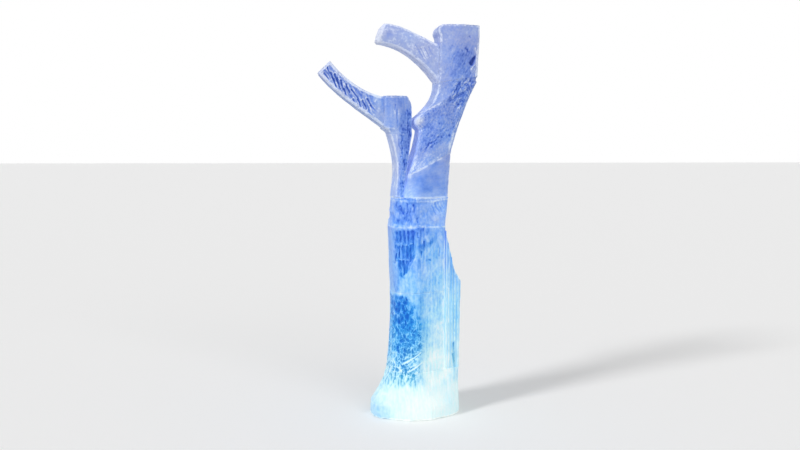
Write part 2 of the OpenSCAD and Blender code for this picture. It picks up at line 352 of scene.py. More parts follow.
def ramp(value, low, high):
    """Rises smoothly from 0 at low to 1 at high."""
    t = np.clip((value - low) / (high - low), 0, 1)
    return t * t * (3 - 2 * t)


def band(value, rise, fall):
    """1 in a band: it rises over the first pair of values and falls again over the second pair."""
    return ramp(value, *rise) * (1 - ramp(value, *fall))


def at_height(height, steps):
    """A value read off a list of heights and values, with straight lines between them."""
    return np.interp(height, [h for h, v in steps], [v for h, v in steps])


def lumps(points, size, seed=0.0):
    """Smooth noise from about -1 to 1. Size is one length, or one for each axis."""
    return np.array([noise.noise(p) for p in (points / size + seed).tolist()]) * NOISE_GAIN


def swept(points, angle, along, across, seed=0.0):
    """Noise drawn out along a slant in the front plane. The angle is in degrees, up from +X."""
    slant = math.radians(angle)
    far = points[:, 0] * math.cos(slant) + points[:, 2] * math.sin(slant)
    side = points[:, 2] * math.cos(slant) - points[:, 0] * math.sin(slant)
    return lumps(np.stack((far / along, points[:, 1] / across, side / across), 1), 1.0, seed)


def bent(points, size, amount, seed=0.0):
    """The points pushed about by noise, which bends any pattern that is then drawn at them."""
    push = np.array([tuple(noise.noise_vector(p)) for p in (points / size + seed).tolist()])
    return points + amount * push


def cells(points, size, seed=0.0):
    """Voronoi cells: how far a point is from a ridge between cells, and each cell's own number, 0 to 1."""
    found = [noise.voronoi(p) for p in (points / size + seed).tolist()]
    ridge = np.array([near[0][1] - near[0][0] for near in found])
    owner = np.array([tuple(near[1][0]) for near in found])
    return ridge, np.abs(np.sin(owner @ SCATTER) * SCATTER_GAIN) % 1


sample = np.array([frame["nodes"]["trunk_base"].data.vertices[0].co])
print("noise at one corner of the base:", round(float(lumps(sample, 0.05)[0]), 4))

# %% Strokes and outlines
NO_CUT = 9.0
START_WIDE, TAPER = 1.15, 0.5
FURROW_CURVE = 1.2
BURR_AT, BURR_WIDE = 1.45, 0.4


def strokes(points, cuts, width):
    """How far each point is from the nearest cut, as a share of its width. A cut is x, z, x, z in mm."""
    flat = points[:, [0, 2]] * MM
    best = np.full(len(points), NO_CUT)
    for x1, z1, x2, z2 in cuts:
        start = np.array((x1, z1))
        run = np.array((x2 - x1, z2 - z1))
        share = np.clip((flat - start) @ run / (run @ run), 0, 1)
        gap = np.linalg.norm(flat - start - share[:, None] * run, axis=1)
        best = np.minimum(best, gap / (width * (START_WIDE - TAPER * share)))
    return best


def furrow(gap):
    """1 in the middle of a stroke, 0 from its edge on."""
    return np.clip(1 - gap, 0, 1) ** FURROW_CURVE


def burr(gap):
    """The raised white edge that a tool leaves beside its stroke."""
    return np.exp(-((gap - BURR_AT) / BURR_WIDE) ** 2)


def inside(points, corners):
    """Signed distance in metres to a convex outline in X and Z, given clockwise in mm. Positive inside."""
    flat = points[:, [0, 2]] * MM
    depth = np.full(len(points), np.inf)
    for (x1, z1), (x2, z2) in zip(corners, corners[1:] + corners[:1]):
        run = np.array((x2 - x1, z2 - z1))
        normal = np.array((run[1], -run[0])) / np.linalg.norm(run)
        depth = np.minimum(depth, (flat - np.array((x1, z1))) @ normal)
    return depth / MM


print("a stroke narrows from", START_WIDE, "to", round(START_WIDE - TAPER, 2), "of its width")

# %% [markdown]
# ## Light from below
# The foot is lit from below, and the light climbs up inside the ice. The foot is nearly white, the base
# is cyan, the middle is a clear blue, and above the fork only cold daylight is left. The light climbs
# further up the smooth right side than through the pits on the left, and the lower left corner of the
# foot stays in shade. A lamp set inside clear ice would need very many samples before its light got two
# metres up. So each vertex is told how much of the light is left there, and the materials turn that
# number into colour and a faint glow.

# %% Light that reaches a point
LIGHT_AT = [
    (0.0, 1.0), (0.14, 0.98), (0.28, 0.88), (0.40, 0.77), (0.60, 0.63), (0.80, 0.52), (1.10, 0.42),
    (1.28, 0.33), (1.40, 0.25), (1.52, 0.16), (1.70, 0.10), (2.0, 0.08), (2.2, 0.03)]
RIGHT_MORE, COLUMN_MORE, CORNER_LESS, UNEVEN = 0.08, 0.18, 0.33, 0.05


def foot_corner(p):
    """1 at the lower left corner of the foot, which the light doesn't reach."""
    return ramp(-0.15 - p[:, 0], 0, 0.12) * ramp(0.09 - 0.3 * p[:, 0] - p[:, 2], 0, 0.14)


def light_from_below(p):
    """How much of the light from below is left at each point, from 0 to 1."""
    x, z = p[:, 0], p[:, 2]
    right = ramp(x, -0.06, 0.12) * band(z, (0.22, 0.40), (0.8, 1.35))
    column = band(x, (-0.03, 0.05), (0.13, 0.20)) * band(z, (0.16, 0.30), (0.34, 0.66))
    level = at_height(z, LIGHT_AT) + RIGHT_MORE * right + COLUMN_MORE * column
    level += UNEVEN * lumps(p, 0.10, 11.0) - CORNER_LESS * foot_corner(p)
    return np.clip(level, 0, 1)


for height in (0.1, 0.6, 1.2, 2.0):
    print("light left at", height, "m:", round(float(at_height(height, LIGHT_AT)), 2))

# %% [markdown]
# ## Light through the crack
# Between the stem and the limb is an open crack. The ice beside it is thin, and the light behind the
# tree comes through it, so its walls are brighter than a dark slit would be. The material could do this
# with real see-through ice, but then the whole tree would turn grey. So the walls of the crack are
# found by place and by the way they face, and they get a paler frost and a faint glow.

# %% Find the walls of the crack
CRACK_X, CRACK_Z = (-0.12, 0.06), (1.40, 1.96)
SOFT, SOFT_TOP = 0.01, 0.02


def through_light(p, n):
    """1 on the walls of the crack between stem and limb, where light comes through thin ice."""
    wall = 1 - ramp(np.abs(n[:, 1]), 0.35, 0.75)
    (left, right), (low, top) = CRACK_X, CRACK_Z
    across = band(p[:, 0], (left - SOFT, left + SOFT), (right - SOFT, right + SOFT))
    up = band(p[:, 2], (low - SOFT, low + SOFT), (top - SOFT_TOP, top + SOFT_TOP))
    return wall * across * up


print("the crack is", round(CRACK_Z[1] - CRACK_Z[0], 2), "m high")

# %% [markdown]
# ## The foot and the base
# The lowest two blocks are one form. On the left they are melted into pits with a net of white frost
# between them, and on the right they are smooth, with soft upright streaks. Towards the floor the pits run
# out in fine needles, and the ice is white with light. Two long slashes cross the pits. Pits could be cut
# out one by one with a Boolean, but there are hundreds. Two sizes of Voronoi cells give them all, with the
# sharp ridges between them that melting leaves, and only the single cuts are listed.

# %% Smooth ice of the trunk
# What a carver is given: each vertex's place, its normal and how sharply the surface turns there.
# It gives back the cut in millimetres, the frost and the warm tint.
Surface = namedtuple("Surface", "places normals turn")


def plain_trunk(p):
    """Cut and frost of smooth ice with upright streaks, which the trunk's blocks share."""
    streak = lumps(p, np.array((0.011, 0.02, 0.13)), 7.0)
    slow = lumps(p, 0.07, 8.0)
    fine = lumps(p, np.array((0.014, 0.016, 0.022)), 9.0)
    return 1.3 + 0.8 * streak + 0.7 * slow, 0.60 + 0.09 * streak + 0.09 * slow + 0.07 * fine


print("a carver is given", Surface._fields)

# %% The pitted ice
PIT_SIZE = np.array((0.024, 0.028, 0.030))
PORE_SIZE = 0.015
PIT_DEEP, PORE_DEEP, NOTCH_DEEP = 5.0, 2.5, 5.0
NOTCHES = [
    (-150, 811, -131, 776), (-128, 811, -116, 774), (-90, 755, -100, 724), (-162, 738, -159, 698),
    (-141, 731, -136, 672), (-111, 719, -106, 676), (-164, 607, -155, 589), (-145, 558, -138, 539),
    (-174, 403, -177, 383), (-144, 448, -137, 424), (-8, 471, 1, 454), (-184, 320, -177, 263)]


def pitted_ice(p, n, bend, within):
    """Cut and frost of the pitted ice. Within is how far from the edge of the pits a point is, 0 to 1."""
    z = p[:, 2]
    front = 1 - 0.7 * ramp(-n[:, 0], 0.55, 0.85)
    ridge, pick = cells(bend, PIT_SIZE, 1.0)
    small_ridge, small_pick = cells(bent(p, 0.015, 0.006, 5.0), PORE_SIZE, 2.0)
    pit = ramp(ridge, 0.05, 0.45) * (0.15 + 0.85 * pick) * (0.35 + 0.65 * within)
    pore = ramp(small_ridge, 0.08, 0.40) * (0.1 + 0.9 * small_pick) * (0.5 + 0.5 * within)
    line = 1 - ramp(ridge, 0.0, 0.20)
    frill = ramp(swept(bend, 35, 0.045, 0.008, 15.0), 0.25, 0.8) * ramp(0.62 - z, 0, 0.15)
    notch = furrow(strokes(bent(p, 0.03, 0.006, 6.0), NOTCHES, 13.0)) * front
    low = 1 - ramp(z, 0.30, 0.48)
    frost = 0.25 + 0.10 * lumps(p, 0.045, 5.0) - (0.30 * pit + 0.28 * pore) * front - 0.42 * notch
    frost += (0.28 + 0.24 * low) * line * (0.3 + 0.7 * small_pick) + 0.16 * low + 0.22 * frill
    frost += 0.10 * (1 - within)
    frost += 0.20 * ramp(-n[:, 0], 0.6, 0.9) * ramp(lumps(p, 0.03, 17.0), -0.4, 0.4)
    return PIT_DEEP * pit + PORE_DEEP * pore + NOTCH_DEEP * notch, frost


print("pits up to", PIT_DEEP + PORE_DEEP, "mm deep, and", len(NOTCHES), "notches")

# %% Carve the foot and the base
PIT_EDGE = [
    (0.26, -0.001), (0.328, -0.008), (0.411, 0.006), (0.476, 0.033), (0.562, 0.022), (0.632, -0.007),
    (0.701, -0.034), (0.766, -0.067), (0.815, -0.110)]
TALL_FROM, SQUEEZE = 0.58, 0.5
SLASHES = [(-114, 352, -3, 428), (-83, 306, 2, 364)]
CRACKS = [
    (10, 826, -16, 785), (2, 776, 34, 748), (130, 878, 137, 741), (53, 747, 144, 736), (69, 788, 66, 746)]
FOOT_FROST, FOOT_EVEN = 0.66, 0.3
CRACK_DEEP, NEEDLE_DEEP, HEWN_DEEP = 3.0, 1.5, 3.5


def carve_lower(skin):
    """The foot and the base: pits on the left, smooth on the right, needles and white light below."""
    p, n = skin.places, skin.normals
    x, z = p[:, 0], p[:, 2]
    tall = p.copy()
    tall[:, 2] = np.where(z > TALL_FROM, TALL_FROM + (z - TALL_FROM) * SQUEEZE, z)
    bend = bent(tall, 0.022, 0.010, 3.0)
    # how far the pits reach to the right, and how they end at the top and run out below
    edge = at_height(z, PIT_EDGE) + 0.016 * lumps(p, 0.035, 3.0)
    fade = ramp(z, 0.20, 0.31)
    top = 1 - ramp(z + 0.010 * lumps(p, np.array((0.012, 0.02, 0.05)), 20.0), 0.765, 0.792)
    spread = 0.014 + 0.026 * (1 - ramp(z, 0.40, 0.60))
    pitted = ramp(edge - x, -spread, spread + 0.016) * fade * top
    pit_cut, in_pits = pitted_ice(p, n, bend, ramp(edge - x, 0.015, 0.075))
    # the smooth ice, which gets even and white towards the floor: painted light from below
    plain_cut, plain = plain_trunk(p)
    halo = ramp(edge + 0.08 - x, 0, 0.09) * fade
    crack = furrow(strokes(bend, CRACKS, 5.0))
    plain = plain + 0.06 - 0.22 * halo * (1 - ramp(z, 0.66, 0.80)) - 0.4 * crack
    foot = 1 - ramp(z, 0.14, 0.26)
    plain = plain * (1 - foot) + (FOOT_FROST + FOOT_EVEN * (plain - FOOT_FROST)) * foot
    # a painted pool of light from below, brightest in the middle of the foot
    glow_core = np.exp(-((x - 0.03) / 0.13) ** 2 - ((z - 0.10) / 0.16) ** 2)
    frost = plain * (1 - pitted) + in_pits * pitted + 0.06 * foot + 0.16 * glow_core
    # needles below the pits, painted light on the shaded right side beside the slab, and the two white
    # slashes
    needle = ramp(lumps(p, np.array((0.008, 0.012, 0.05)), 9.0), -0.1, 0.5)
    needle = needle * band(z, (0.17, 0.24), (0.30, 0.40)) * ramp(0.05 - x, 0, 0.10)
    beside_slab = 1 - ramp(x, 0.20, 0.24)
    # painted light: faces turned to the right and the strip beside the slab are lightened against their
    # shade
    pale = 0.22 * ramp(n[:, 0], 0.25, 0.7) + 0.10 * ramp(x, 0.150, 0.166)
    frost += pale * beside_slab * (1 - foot) - 0.36 * needle
    gap = strokes(p, SLASHES, 7.0)
    slash = furrow(gap)
    frost = frost * (1 - slash) + slash - 0.25 * burr(gap) * pitted
    cut = plain_cut + pitted * pit_cut + CRACK_DEEP * crack + NEEDLE_DEEP * needle
    # the flare on the left is hewn in broad scoops
    ridge = cells(p, np.array((0.05, 0.06, 0.05)), 4.0)[0]
    hewn = ramp(-0.15 - x, 0.0, 0.08) * (1 - ramp(z, 0.25, 0.34))
    cut += HEWN_DEEP * hewn * ramp(ridge, 0.0, 0.7)
    frost -= 0.12 * hewn * ramp(ridge, 0.1, 0.6)
    # the warm tint at the foot's lower left corner is painted shade, where the light from below doesn't
    # reach
    return cut * (1 - slash), frost, 0.6 * foot_corner(p)


print(len(SLASHES), "slashes and", len(CRACKS), "cracks in the base")

# %% [markdown]
# ## The middle block
# Its left half has a panel of upright gouge cuts, stacked in three tiers and ending in a slanted bright
# edge. To its left is a plain lilac strip. To its right the ice is smooth and clear blue, with a few
# small dark nicks, and it gets paler towards the slab. Noise could fill the panel with upright marks,
# but a row of gouge cuts is plainly made by hand. So each cut is one stroke with a place of its own,
# and a little bending noise takes the ruler out of it.

# %% Carve the panel of gouge cuts
PANEL = [(-162, 1191), (-36, 1197), (-33, 1036), (-89, 916), (-119, 880), (-139, 945), (-158, 1010)]
GOUGES = [
    (-150, 1190, -147, 1125), (-128, 1191, -124, 1118), (-105, 1192, -102, 1118), (-81, 1193, -78, 1112),
    (-53, 1192, -51, 1050), (-134, 1088, -133, 1022), (-112, 1092, -107, 1022), (-89, 1094, -84, 1016),
    (-66, 1100, -67, 1000), (-130, 998, -126, 940), (-109, 1002, -105, 914), (-88, 1000, -92, 926)]
LEDGES = [
    (-152, 1106, -92, 1104), (-92, 1104, -58, 1112), (-146, 1008, -112, 1012), (-112, 1012, -74, 1004)]
SLANT = [(-31, 1040, -90, 912)]
NICKS = [
    (6, 1061, 3, 1026), (129, 1078, 122, 1028), (-22, 1177, -21, 1150), (-158, 988, -148, 1045),
    (20, 1120, 26, 1096), (52, 1010, 66, 1004)]
PANEL_DEEP, GOUGE_DEEP, NICK_DEEP = 2.0, 6.5, 4.0


def carve_middle(skin):
    """The middle block: the panel, the plain strip beside it and the clear right side."""
    p, n = skin.places, skin.normals
    x, z = p[:, 0], p[:, 2]
    bend = bent(p, 0.03, 0.005, 2.0)
    panel = ramp(inside(bend, PANEL) + 0.006 * lumps(p, 0.02, 17.0), -0.006, 0.012)
    gap = strokes(bend, GOUGES, 8.5)
    gouge = furrow(gap)
    ledge = furrow(strokes(bend, LEDGES, 6.0))
    slant = furrow(strokes(p, SLANT, 6.0))
    nick = furrow(strokes(bend, NICKS, 7.0))
    plain_cut, plain = plain_trunk(p)
    blue = ramp(lumps(p, np.array((0.03, 0.03, 0.045)), 6.0), -0.2, 0.6)
    blue = blue * band(x, (-0.05, 0.0), (0.08, 0.14))
    plain = plain + 0.03 - 0.28 * blue * ramp(z, 0.92, 1.10) + 0.06 * ramp(x, 0.05, 0.15)
    patchy = ramp(lumps(p, np.array((0.02, 0.03, 0.03)), 14.0), -0.6, 0.5)
    gouged = 0.33 - 0.22 * np.minimum(gouge * 1.6, 1) * (0.3 + 0.7 * patchy) + 0.10 * burr(gap)
    gouged += 0.12 * swept(bend, 84, 0.040, 0.007, 4.0) + 0.08 * lumps(p, 0.03, 15.0)
    broken = ramp(lumps(p, np.array((0.018, 0.02, 0.012)), 16.0), -0.4, 0.5)
    frost = plain * (1 - panel) + gouged * panel + 0.26 * ledge * panel * broken
    frost += 0.30 * slant * (0.5 + 0.5 * broken) - 0.4 * nick
    # painted light: faces turned to the right and the strip beside the slab are lightened against their
    # shade
    pale = 0.22 * ramp(n[:, 0], 0.25, 0.7) + 0.08 * ramp(x, 0.150, 0.166)
    frost += pale * (1 - ramp(z, 1.10, 1.18))
    cut = plain_cut + panel * (PANEL_DEEP + GOUGE_DEEP * gouge) * (1 - 0.6 * ledge) + NICK_DEEP * nick
    lilac = ramp(-0.135 - x, -0.01, 0.02) * (1 - panel)
    return cut, frost + (0.05 * swept(bend, 80, 0.05, 0.012, 18.0) - 0.11) * lilac, 0.35 * lilac


print("panel of", len(GOUGES), "gouge cuts, up to", PANEL_DEEP + GOUGE_DEEP, "mm deep")

# %% [markdown]
# ## The collar
# The collar is mottled. Its left part is dark blue with light upright streaks and dark cuts, and its
# right part is paler, with short slanted strokes. Two bright lines run across its top, where the melt
# water of the joint froze, and a paler band runs along its foot. A painted picture could hold all this,
# but noise and strokes can be made in any size and run round the sides and the back as well.

# %% Carve the collar
COLLAR_CUTS = [
    (-66, 1324, -64, 1246), (-145, 1370, -148, 1337), (-123, 1347, -108, 1289), (-86, 1356, -85, 1298),
    (-48, 1349, -44, 1300), (-30, 1267, -21, 1242), (-166, 1293, -162, 1236)]
COLLAR_STROKES = [
    (89, 1364, 122, 1297), (106, 1372, 140, 1305), (72, 1347, 100, 1289), (128, 1376, 156, 1322)]
WELD_LINES = [
    (-190, 1396, 0, 1389), (0, 1389, 200, 1400), (-160, 1376, 60, 1371), (60, 1371, 180, 1382)]
LOW_BAND = [(-156, 1222, 26, 1219)]


def carve_collar(skin):
    """The collar: dark mottles on the left, slanted strokes on the right, bright lines on top."""
    p = skin.places
    x, z = p[:, 0], p[:, 2]
    bend = bent(p, 0.03, 0.006, 6.0)
    left = 1 - ramp(x, -0.06, 0.03)
    blot = ramp(lumps(bend, np.array((0.034, 0.04, 0.05)), 4.0), -0.35, 0.5)
    light = ramp(lumps(bend, np.array((0.012, 0.02, 0.045)), 13.0), 0.1, 0.9)
    deep = furrow(strokes(bend, COLLAR_CUTS, 9.0))
    gap = strokes(bend, COLLAR_STROKES, 6.0)
    weld = furrow(strokes(bend, WELD_LINES, 13.0))
    low_band = furrow(strokes(bend, LOW_BAND, 9.0))
    left = left * ramp(x, -0.172, -0.140)
    frost = 0.68 - 0.14 * left - 0.20 * blot * (0.35 + 0.65 * left) + 0.14 * light * (0.4 + 0.6 * left)
    frost += 0.03 + 0.07 * lumps(p, 0.013, 7.0) + 0.06 * swept(bend, 70, 0.03, 0.008, 19.0) * left
    frost += 0.10 * burr(gap) - 0.18 * furrow(gap) - 0.26 * deep
    frost += 0.34 * weld * (0.7 + 0.3 * light) + 0.22 * low_band
    cut = 1.6 + 2.2 * blot - 0.8 * light + 6.0 * deep + 3.5 * furrow(gap)
    pink = np.exp(-((x - 0.10) ** 2 + (z - 1.265) ** 2) / 0.03 ** 2)
    return cut * (1 - 0.7 * weld), frost + 0.10 * pink, 0.5 * pink


print(len(COLLAR_CUTS), "dark cuts and", len(COLLAR_STROKES), "slanted strokes in the collar")

# %% [markdown]
# ## The side slab
# A thinner slab is frozen to the trunk's right side. A gouge has run down it again and again, so it has
# upright flutes. They could be made here by moving vertices, but they are wide and change the outline.
# So the CAD has them as real hollows, and only fine streaks of frost follow them here. Light from below
# fills the slab, and only a narrow recess low on its right stays blue. Next to the trunk, where the trunk
# casts shade on the slab, and on the flute sides turned to the right, the frost is raised as painted light.

# %% Carve the slab
RECESS = [(230, 458, 244, 300), (225, 388, 237, 300)]
SLAB_STREAKS = [(187, 823, 199, 356)]


def carve_slab(skin):
    """The slab: upright streaks, a blue recess, and painted light beside the trunk and on the flute sides
    in shade.
    """
    p, n = skin.places, skin.normals
    x = p[:, 0]
    streak = lumps(p, np.array((0.007, 0.02, 0.22)), 2.0)
    fine = lumps(p, np.array((0.004, 0.02, 0.08)), 5.0)
    recess = furrow(strokes(p, RECESS, 14.0))
    bright = furrow(strokes(p, SLAB_STREAKS, 7.0))
    cut = 1.2 + 1.0 * streak + 5.0 * recess
    frost = 0.60 + 0.06 * streak + 0.04 * fine + 0.05 * lumps(p, 0.05, 3.0)
    # flute sides turned to the right lie in shade and are lightened: painted light
    fill_on_shade_side = ramp(n[:, 0], 0.05, 0.6) * (1 - ramp(n[:, 0], 0.8, 0.95))
    # the strip next to the trunk lies in the trunk's shade and is lightened: painted light
    frost += 0.18 * (1 - ramp(x, 0.172, 0.200)) - 0.45 * recess - 0.07 * ramp(p[:, 2], 0.75, 1.0)
    return cut, frost + 0.2 * bright + 0.12 * fill_on_shade_side, np.zeros(len(p))


print("slab: a recess of", len(RECESS), "strokes and", len(SLAB_STREAKS), "bright streak")

# %% [markdown]
# ## The fork
# Above the collar the tree splits. The right half of the fork is one clear block whose top was sawn on
# a slant, and the limb stands on that slant. Bright strands of frozen water run along the slanted seam,
# with fine saw lines beside them. The strands could be thin curves laid on the block. They are inside
# the ice, so they are lines in its frost, and the limb above carries them on across the seam.

# %% Carve the fork block
STRANDS = [(-95, 1521, -24, 1538), (-24, 1538, 39, 1581), (39, 1581, 96, 1634), (96, 1634, 150, 1628)]
THIN_STRANDS = [
    (-88, 1530, -30, 1560), (-30, 1560, 72, 1650), (-80, 1538, -30, 1578), (-30, 1578, 44, 1660),
    (-70, 1550, -15, 1610), (-20, 1548, 100, 1640), (100, 1640, 150, 1672), (-60, 1566, -24, 1620),
    (40, 1600, 130, 1660), (-10, 1535, 60, 1580)]
CLEAR_PATCH = [(0, 1500, 30, 1460), (30, 1460, 66, 1442)]


def carve_fork(skin):
    """The clear block: a swirl inside it, strands along its top and a frosted right rim."""
    p = skin.places
    x, z = p[:, 0], p[:, 2]
    bend = bent(p, 0.03, 0.004, 5.0)
    strand = furrow(strokes(bend, STRANDS, 20.0))
    thin = furrow(strokes(bend, THIN_STRANDS, 6.0))
    left = 1 - ramp(x, -0.065, -0.03)
    patch = furrow(strokes(bend, CLEAR_PATCH, 52.0))
    right = ramp(x + 0.6 * (z - 1.55), 0.09, 0.17)
    swirl = lumps(bend, np.array((0.06, 0.06, 0.03)), 2.0)
    speck = ramp(lumps(p, 0.016, 9.0), 0.1, 0.7)
    low = 1 - ramp(z, 1.41, 1.46)
    cut = 1.8 + 0.9 * swirl + 1.5 * patch + 1.5 * speck * right - 1.2 * strand
    fine = swept(bend, 15, 0.03, 0.008, 11.0)
    frost = 0.63 + 0.08 * swirl + 0.05 * fine + 0.11 * strand + 0.08 * thin - 0.15 * patch
    frost += right * (0.08 - 0.08 * speck) + 0.12 * left
    return cut, frost + 0.12 * low, 0.2 * strand + 0.25 * right


print(len(STRANDS), "wide and", len(THIN_STRANDS), "thin strands along the seam")

# %% [markdown]
# ## The left branch
# The left half of the fork is a slim stem with a thicker block on top and a long arm. The stem has a
# plain lilac band down its left side and blue pitted ice on its right. The arm is the most carved piece:
# a raised frame runs along both its edges, and the field between them is cut with long steep grooves
# that have a white burr beside each. Each block could be carved by itself, but the root of the arm is
# the same plain ice as the stem. They share one frost, so the tone runs on across the joint.

# %% Carve the stem and its top block
BAND_EDGE = [
    (1.40, -0.139), (1.50, -0.136), (1.56, -0.131), (1.707, -0.135), (1.83, -0.137), (1.90, -0.120),
    (1.96, -0.085)]
STEM_CUTS = [
    (-129, 1600, -136, 1503), (-136, 1503, -139, 1404), (-134, 1756, -127, 1699), (-72, 1837, -73, 1740),
    (-111, 1788, -113, 1691), (-113, 1691, -103, 1585), (-71, 1934, -72, 1837), (-156, 1966, -155, 1934),
    (-143, 1934, -141, 1829), (-60, 1800, -64, 1700), (-92, 1660, -96, 1560)]


def plain_stem(p):
    """Cut and frost of the stem's plain ice, which the root of the arm shares."""
    grain = lumps(p, np.array((0.012, 0.02, 0.07)), 3.0)
    slow = lumps(p, 0.045, 6.0)
    frost = 0.71 + 0.08 * grain + 0.07 * slow - 0.10 * ramp(p[:, 2], 1.90, 1.98)
    return 1.4 + 0.7 * grain + 0.6 * slow, frost


def carve_stem(skin):
    """The stem and its top block: a plain band on the left, pitted blue ice on the right."""
    p = skin.places
    z = p[:, 2]
    bend = bent(p, 0.03, 0.006, 3.0)
    inner = ramp(bend[:, 0] - at_height(z, BAND_EDGE), -0.008, 0.022) * (1 - ramp(z, 1.90, 2.0))
    ridge, pick = cells(bend, np.array((0.018, 0.022, 0.026)), 5.0)
    pit = ramp(ridge, 0.08, 0.5) * (0.35 + 0.65 * pick)
    plain_cut, plain = plain_stem(p)
    gap = strokes(bend, STEM_CUTS, 6.0)
    deep = furrow(gap)
    blue = 0.50 + 0.12 * lumps(p, 0.045, 6.0) - 0.34 * pit + 0.10 * lumps(p, 0.012, 16.0)
    frost = plain * (1 - inner) + blue * inner - 0.26 * deep + 0.12 * burr(gap)
    lilac = (1 - inner) * (1 - ramp(z, 1.72, 1.86))
    return plain_cut + 3.5 * inner * pit + 3.5 * deep, frost, 0.55 * lilac


print("the stem has", len(STEM_CUTS), "cuts")

# %% Carve the left arm
ARM_GROOVES = [
    (-565, 2193, -551, 2156), (-585, 2153, -529, 2073), (-544, 2155, -501, 2046), (-519, 2150, -508, 2106),
    (-508, 2126, -487, 2058), (-483, 2114, -468, 2056), (-466, 2060, -446, 2007), (-450, 2090, -432, 2037),
    (-417, 2057, -379, 2007), (-408, 1996, -395, 1966), (-379, 2000, -360, 1950), (-353, 1990, -328, 1938),
    (-321, 2001, -291, 1948), (-303, 1960, -266, 1921), (-264, 1987, -248, 1954)]
ARM_BLOBS = [
    (-516, 2118, -500, 2098), (-487, 2100, -478, 2086), (-452, 2072, -444, 2060), (-424, 2048, -408, 2034)]
FIELD_DEEP, GROOVE_DEEP, BLOB_DEEP, BURR_HIGH = 2.5, 6.0, 3.0, 1.5


def front_and_back(skin, low, high):
    """1 on the broad faces at the front and the back, 0 on the sides."""
    return ramp(np.abs(skin.normals[:, 1]), low, high)


def carve_left_arm(skin):
    """The left arm: a bright frame, and a field of grooves with white burrs."""
    p = skin.places
    x = p[:, 0]
    face = front_and_back(skin, 0.55, 0.90)
    bend = bent(p, 0.03, 0.004, 4.0)
    frame = ramp(skin.turn, 0.002, 0.010)
    field = face * (1 - frame) * ramp(-0.25 - x, 0, 0.06)
    gap = strokes(bend, ARM_GROOVES, 6.5)
    groove = furrow(gap)
    blob = furrow(strokes(bend, ARM_BLOBS, 14.0))
    slow = lumps(p, 0.035, 1.0)
    speck = lumps(p, 0.011, 8.0)
    thread = ramp(swept(bend, -60, 0.050, 0.008, 9.0), -0.15, 0.5)
    hollow = 0.46 + 0.08 * slow - 0.40 * np.minimum(groove * 1.4, 1) + 0.40 * burr(gap) - 0.26 * blob
    hollow += 0.06 * speck + 0.34 * thread * (1 - groove)
    root = ramp(x, -0.27, -0.22)
    plain = (0.80 + 0.06 * slow) * (1 - root) + plain_stem(p)[1] * root + 0.14 * frame
    frost = plain * (1 - field) + hollow * field
    in_field = FIELD_DEEP + GROOVE_DEEP * groove + BLOB_DEEP * blob - BURR_HIGH * burr(gap)
    return 1.0 + 0.5 * (slow + 1) + field * in_field, frost, np.zeros(len(p))


print(len(ARM_GROOVES), "grooves in the arm, up to", FIELD_DEEP + GROOVE_DEEP, "mm deep")

# %% [markdown]
# ## The right limb
# The limb is scaled and streaked all over like bark, in cells the size of a finger tip, each with a pale
# rim. Its left edge is bright, and it is darkest low down, above the sawn seat. A knuckle stands out on
# its left, where a twig was cut off. Higher up the right part is crushed into blue chunks under crossing
# light ribs, and this runs over from the limb's two blocks into the head. So it is a helper that all
# three blocks call with their own vertices, and it goes on unbroken where they meet.

# %% The crushed part that the limb and the head share
CRUSHED = [(178, 2010), (225, 2105), (300, 2150), (352, 2130), (340, 2040), (280, 1925), (205, 1935)]
CHUNK_DEEP = 3.0


def crushed(p):
    """What the crushed part adds to cut and to frost: blue chunks under crossing light ribs."""
    bend = bent(p, 0.03, 0.008, 12.0)
    share = ramp(inside(bend, CRUSHED) + 0.012 * lumps(p, 0.03, 13.0), -0.010, 0.018)
    share = share * ramp(np.abs(p[:, 1]), 0.02, 0.06)
    ribs = ramp(swept(bend, 52, 0.055, 0.010, 14.0), 0.10, 0.55)
    cross = ramp(swept(bend, 112, 0.045, 0.011, 15.0), 0.15, 0.60)
    light = np.maximum(ribs, 0.8 * cross)
    return share * CHUNK_DEEP * (1 - light), share * (0.42 * light - 0.24)


print("the crushed part has", len(CRUSHED), "corners and is up to", CHUNK_DEEP, "mm deep")

# %% Carve the limb
LIMB_CUTS = [
    (23, 1683, 54, 1731), (54, 1731, 93, 1747), (46, 1650, 113, 1658), (113, 1658, 147, 1650),
    (185, 1780, 203, 1764), (69, 1707, 85, 1731), (170, 1700, 178, 1680)]
LIMB_EDGES = [
    (0, 1808, -8, 1757), (-8, 1757, -21, 1700), (-21, 1700, -40, 1634),
    (235, 1845, 211, 1796), (211, 1796, 191, 1739), (191, 1739, 180, 1691)]
KNUCKLE, KNUCKLE_WIDE = (-0.004, 1.868), 0.032


